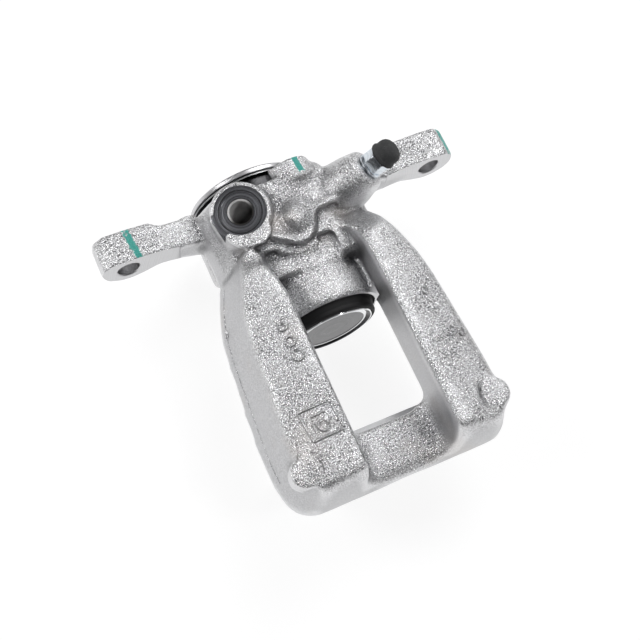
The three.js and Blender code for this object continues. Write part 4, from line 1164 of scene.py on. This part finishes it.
    def build(self, finishes: Finishes) -> list[bpy.types.Object]:
        """Builds the casting, its marks and its lip.

        Args:
            finishes: The materials.

        Returns:
            The pieces, which ride on the housing.
        """
        casting = self.rounded()
        marks = self.marks(casting)
        for material in finishes.housing_set():
            casting.data.materials.append(material)
        for tool in (self.cutters, self.second_cutters, self.third_cutters):
            Workshop.carve(casting, tool())
        casting.data.shade_smooth()
        casting.data.set_sharp_from_angle(angle=math.radians(34))
        marks.data.materials.append(finishes.cast)
        lip = self.flange_lip(finishes)
        for piece in (casting, marks, lip):
            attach(piece, Body.HOUSING.value)
        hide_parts("caliper_housing")
        return [casting, marks, lip]


# ---------------------------------------------------------------------------
# piston and boot
# ---------------------------------------------------------------------------


@dataclass
class Piston:
    """The chromed piston: dished face, ground wall, boot groove and keyed skirt."""

    radius: float = 19.0
    length: float = 48.0
    crown: float = 6.0
    inner: float = 15.4
    key_flat: float = 12.2
    disc: float = 15.2
    shaded_ring: tuple[float, float] = (16.95, 18.4)

    def build(self, finishes: Finishes) -> bpy.types.Object:
        """Builds the piston and returns it."""
        r, back = self.radius, self.length - 1
        bm = bmesh.new()
        Workshop.spin(bm, [
            (0, 0), (14.9, 0), (15.25, -0.2), (15.8, -0.3), (16.3, -0.2), (16.9, 0.25),
            (17.1, 0.3), (18.3, -0.85), (18.55, -1.0), (18.8, -0.9), (r, -0.5), (r, 1.6),
            (r - 0.9, 2.0), (r - 0.9, 3.8), (r, 4.2),
            (r, back - 0.9), (r - 0.3, back - 0.3), (r - 0.9, back), (0, back),
        ], (0, 0, 0), PISTON_AXIS, 128)
        # The face takes a darkened chrome, a painted dark reflection; the ring round it takes the
        # painted shade finish.
        for face in bm.faces:
            middle = face.calc_center_median() / MM
            away = math.hypot(middle.x, middle.z)
            if middle.y < 1.0 and away < self.disc:
                face.material_index = 1
            elif middle.y < 0.4 and self.shaded_ring[0] < away < self.shaded_ring[1]:
                face.material_index = 2
        piston = Workshop.finished(bm, "piston_body_turned",
                                   [finishes.chrome, finishes.disc, finishes.shade], 26)
        cavity = bmesh.new()
        Workshop.spin(cavity, [(0, self.crown), (self.inner, self.crown), (self.inner, back + 1),
                               (0, back + 1)], (0, 0, 0), PISTON_AXIS, 96)
        for side in (-1, 1):
            Workshop.trim(cavity, (0, 0, side * self.key_flat), (0, 0, side))
        bmesh.ops.recalc_face_normals(cavity, faces=cavity.faces)
        Workshop.carve(piston, Workshop.finished(cavity, "piston_cavity", []))
        piston.data.shade_smooth()
        piston.data.set_sharp_from_angle(angle=math.radians(26))
        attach(piston, Body.PISTON.value)
        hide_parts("piston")
        return piston


@dataclass
class DustBoot:
    """The black convoluted boot between the cylinder's mouth and the piston's nose."""

    inner: float = 19.12
    bead: float = 22.55
    back: float = 9.15

    def build(self, finishes: Finishes) -> bpy.types.Object:
        """Builds the boot and returns it."""
        bm = bmesh.new()
        Workshop.spin(bm, [
            (self.inner, -0.30), (19.5, -0.42), (20.2, -0.35), (20.75, 0.0), (21.0, 0.5),
            (21.05, 1.1), (20.9, 1.5), (20.8, 1.8), (20.9, 2.1), (21.2, 2.6), (21.4, 3.2),
            (21.5, 3.8), (21.6, 4.5), (21.9, 5.05), (22.4, 5.4), (self.bead, 5.8),
            (self.bead, self.back), (self.inner, self.back), (self.inner, 4.2),
        ], (0, 0, 0), PISTON_AXIS, 128, closed=True)
        boot = Workshop.finished(bm, "dust_boot_folds", [finishes.boot], 40)
        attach(boot, Body.HOUSING.value)
        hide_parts("dust_boot")
        return boot


# ---------------------------------------------------------------------------
# bleeder
# ---------------------------------------------------------------------------


@dataclass
class Bleeder:
    """The zinc-plated bleeder screw and its rubber cap."""

    flats: float = 10.0
    hex_low: float = 1.6
    hex_high: float = 7.2
    shank: float = 4.75
    nipple: float = 3.4
    nipple_end: float = 13.2
    cap_low: float = 7.5
    cap_radius: float = 5.75
    cap_lip: float = 6.3
    cap_high: float = 15.2

    def screw(self, finishes: Finishes) -> bpy.types.Object:
        """Builds the screw and returns it."""
        bm = bmesh.new()
        n, axis = self.nipple, Vector(BLEED_AXIS)
        Workshop.spin(bm, [
            (0, -13.7), (2.75, -12.7), (self.shank, -9.7), (self.shank, 0.3), (5.7, 0.3),
            (5.9, 0.5), (5.9, 1.3), (5.7, 1.6), (4.6, 1.7), (4.6, 7.1), (n, 7.3), (n, 8.2),
            (n - 0.5, 9.2), (n - 0.5, 10.2), (n, 11.6), (n - 0.2, 12.3), (n - 0.9, self.nipple_end),
            (1.0, self.nipple_end), (0.9, self.nipple_end - 0.2), (0.9, self.nipple_end - 6),
            (0, self.nipple_end - 6.4),
        ], BLEED_CENTRE, axis, 72)
        height = self.hex_high - self.hex_low
        place = Workshop.along(BLEED_CENTRE, axis) @ Matrix.Translation(
            mm(0, 0, (self.hex_low + self.hex_high) / 2))
        hexagon = bmesh.ops.create_cone(
            bm, cap_ends=True, segments=6, radius1=self.flats / math.sqrt(3) * MM,
            radius2=self.flats / math.sqrt(3) * MM, depth=height * MM, matrix=place)["verts"]
        rims = {e for v in hexagon for e in v.link_edges}
        bmesh.ops.bevel(bm, geom=list(rims), offset=0.00035, segments=3, profile=0.5,
                        affect="EDGES", material=-1)
        screw = Workshop.finished(bm, "bleeder_screw_turned", [finishes.zinc], 30)
        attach(screw, Body.BLEEDER.value)
        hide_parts("bleeder_screw")
        return screw

    def cap(self, finishes: Finishes) -> bpy.types.Object:
        """Builds the cap and returns it."""
        bm = bmesh.new()
        low, lip, r, top = self.cap_low, self.cap_lip, self.cap_radius, self.cap_high
        inner = self.nipple + 0.1
        dome = [(r * math.cos(t) ** 0.62 if t < 1.5 else 0.0, top - 3.6 + 3.6 * math.sin(t))
                for t in (0.0, 0.3, 0.6, 0.85, 1.1, 1.3, 1.42)]
        Workshop.spin(bm, [
            (inner, low), (lip - 0.7, low), (lip - 0.2, low + 0.2), (lip, low + 0.7),
            (lip, low + 1.3), (lip - 0.25, low + 1.75), (r + 0.1, low + 2.0), (r, low + 2.5),
            *dome, (0, top), (0, 13.6), (inner, 13.6),
        ], BLEED_CENTRE, Vector(BLEED_AXIS), 72, closed=True)
        cap = Workshop.finished(bm, "bleeder_cap_moulded", [finishes.cap], 38)
        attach(cap, Body.CAP.value)
        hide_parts("bleeder_cap")
        return cap

    def build(self, finishes: Finishes) -> list[bpy.types.Object]:
        """Builds the screw and the cap and returns them."""
        return [self.screw(finishes), self.cap(finishes)]


# ---------------------------------------------------------------------------
# parts that keep their CAD shape
# ---------------------------------------------------------------------------


@dataclass
class Internals:
    """The spindle, nut, bearing and seals, which keep their shapes and get real finishes."""

    steel: tuple[str, ...] = ("parking_spindle", "spindle_nut", "spindle_circlip")
    bearing: tuple[str, ...] = ("thrust_washer_front", "thrust_washer_rear", "spindle_spacer")
    rubber: tuple[str, ...] = ("piston_seal", "spindle_seal")
    balls: int = 10

    def dress(self, finishes: Finishes) -> None:
        """Gives each node the finish of its metal or rubber."""
        rounds = tuple(f"thrust_ball_{i:02d}" for i in range(1, self.balls + 1))
        sets = (
            (self.steel, finishes.steel), (self.bearing + rounds, finishes.bearing),
            (self.rubber, finishes.boot), (("ball_cage",), finishes.nylon),
            (("spindle_bush",), finishes.bronze),
        )
        for names, material in sets:
            for name in names:
                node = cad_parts[name]
                for place in node.material_slots:
                    place.link = "OBJECT"
                    place.material = material
                log.info("dressed %s in %s", name, material.name)


# ---------------------------------------------------------------------------
# studio
# ---------------------------------------------------------------------------


@dataclass
class Studio:
    """The pale floor, the soft lights and the camera."""

    eye: Point = (-123.4, -123.1, 412.3)
    right: Point = (0.9017, -0.4109, 0.1344)
    down: Point = (-0.3391, -0.8651, -0.3695)
    field_deg: float = 34.86
    floor_gap: float = 0.0002
    floor_reach: float = 3.0
    dim: tuple[float, float, float, float] = (0.04, 0.04, 0.042, 1)
    overhead: tuple[float, float, float, float] = (0.20, 0.20, 0.207, 1)
    horizon: tuple[float, float, float, float] = (0.85, 0.85, 0.85, 1)

    def camera(self) -> None:
        """Puts the camera where the object is seen from above and to its left."""
        data = bpy.data.cameras.new("camera")
        data.sensor_width = 36
        data.lens = 18 / math.tan(math.radians(self.field_deg) / 2)
        data.clip_start, data.clip_end = 0.01, 20
        right = Vector(self.right).normalized()
        up = -Vector(self.down)
        up = (up - right * up.dot(right)).normalized()
        turn = Matrix((right, up, right.cross(up))).transposed().to_4x4()
        seen = bpy.data.objects.new("camera", data)
        bpy.context.scene.collection.objects.link(seen)
        seen.matrix_world = Matrix.Translation(mm(*self.eye)) @ turn
        bpy.context.scene.camera = seen

    def floor(self, height: float) -> None:
        """Lays the floor.

        Args:
            height: The floor's height in metres.
        """
        bm = bmesh.new()
        bmesh.ops.create_grid(bm, x_segments=2, y_segments=2, size=self.floor_reach,
                              matrix=Matrix.Translation((0, 0, height)))
        material, sheet, shader, where = new_material("floor_white")
        cloud = sheet.noise(where, 3, 2)
        sheet.feed(shader.inputs["Base Color"], sheet.mix(
            sheet.band(cloud, 0.3, 0.7, (0.0, 0.3)), (0.22, 0.22, 0.22, 1), (0.21, 0.21, 0.21, 1)))
        shader.inputs["Roughness"].default_value = 0.9
        shader.inputs["Emission Color"].default_value = (1, 1, 1, 1)
        shader.inputs["Emission Strength"].default_value = 0.86
        Workshop.finished(bm, "floor", [material])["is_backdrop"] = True

    def lamp(self, name: str, place: Point, aim: Point, size: float, power: float) -> None:
        """Hangs one soft square lamp.

        Args:
            name: The lamp's name.
            place: Where it hangs, in millimetres.
            aim: The point it faces, in millimetres.
            size: The length of its side, in millimetres.
            power: Its power in watts.
        """
        data = bpy.data.lights.new(name, "AREA")
        data.size = size * MM
        data.energy = power
        made = bpy.data.objects.new(name, data)
        bpy.context.scene.collection.objects.link(made)
        toward = mm(*aim) - mm(*place)
        made.matrix_world = Matrix.Translation(mm(*place)) @ toward.to_track_quat(
            "-Z", "Y").to_matrix().to_4x4()

    def sky(self) -> None:
        """Lights the scene softly from overhead, with a dim band above a pale horizon."""
        world = bpy.data.worlds.new("tent")
        bpy.context.scene.world = world
        world.use_nodes = True
        world.node_tree.nodes.clear()
        sheet = Sheet(world.node_tree)
        where = sheet.node("ShaderNodeTexCoord").outputs["Generated"]
        up = sheet.node("ShaderNodeSeparateXYZ", Vector=where).outputs[2]
        shade = sheet.mix(sheet.band(up, 0.45, 0.95), self.dim, self.overhead)
        shade = sheet.mix(sheet.band(up, 0.03, 0.14), self.horizon, shade)
        glow = sheet.node("ShaderNodeBackground", Color=shade, Strength=1.0)
        output = sheet.node("ShaderNodeOutputWorld")
        sheet.feed(output.inputs["Surface"], glow.outputs[0])

    def build(self, height: float) -> None:
        """Sets up the floor, the lights and the camera."""
        self.camera()
        self.floor(height - self.floor_gap)
        self.sky()
        self.lamp("top", (500, 530, 880), (0, 0, 0), 640, 5.6)
        self.lamp("key", (-600, 240, 560), (0, 0, 0), 300, 2.4)
        self.lamp("spark", (300, -330, 640), (-23, 53, 25), 160, 1.0)
        view = bpy.context.scene.view_settings
        view.view_transform = "Standard"
        view.look = "None"


# ---------------------------------------------------------------------------
# assembly
# ---------------------------------------------------------------------------


def main() -> None:
    """Builds the caliper in order and reports each piece."""
    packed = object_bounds()
    finishes = Finishes()
    pieces = Housing().build(finishes)
    pieces.append(Piston().build(finishes))
    pieces.append(DustBoot().build(finishes))
    pieces.extend(Bleeder().build(finishes))
    for piece in pieces:
        log.info("built %s with %d faces", piece.name, len(piece.data.polygons))
    Internals().dress(finishes)
    Studio().build(packed[0].z)


if __name__ == "__main__":
    main()
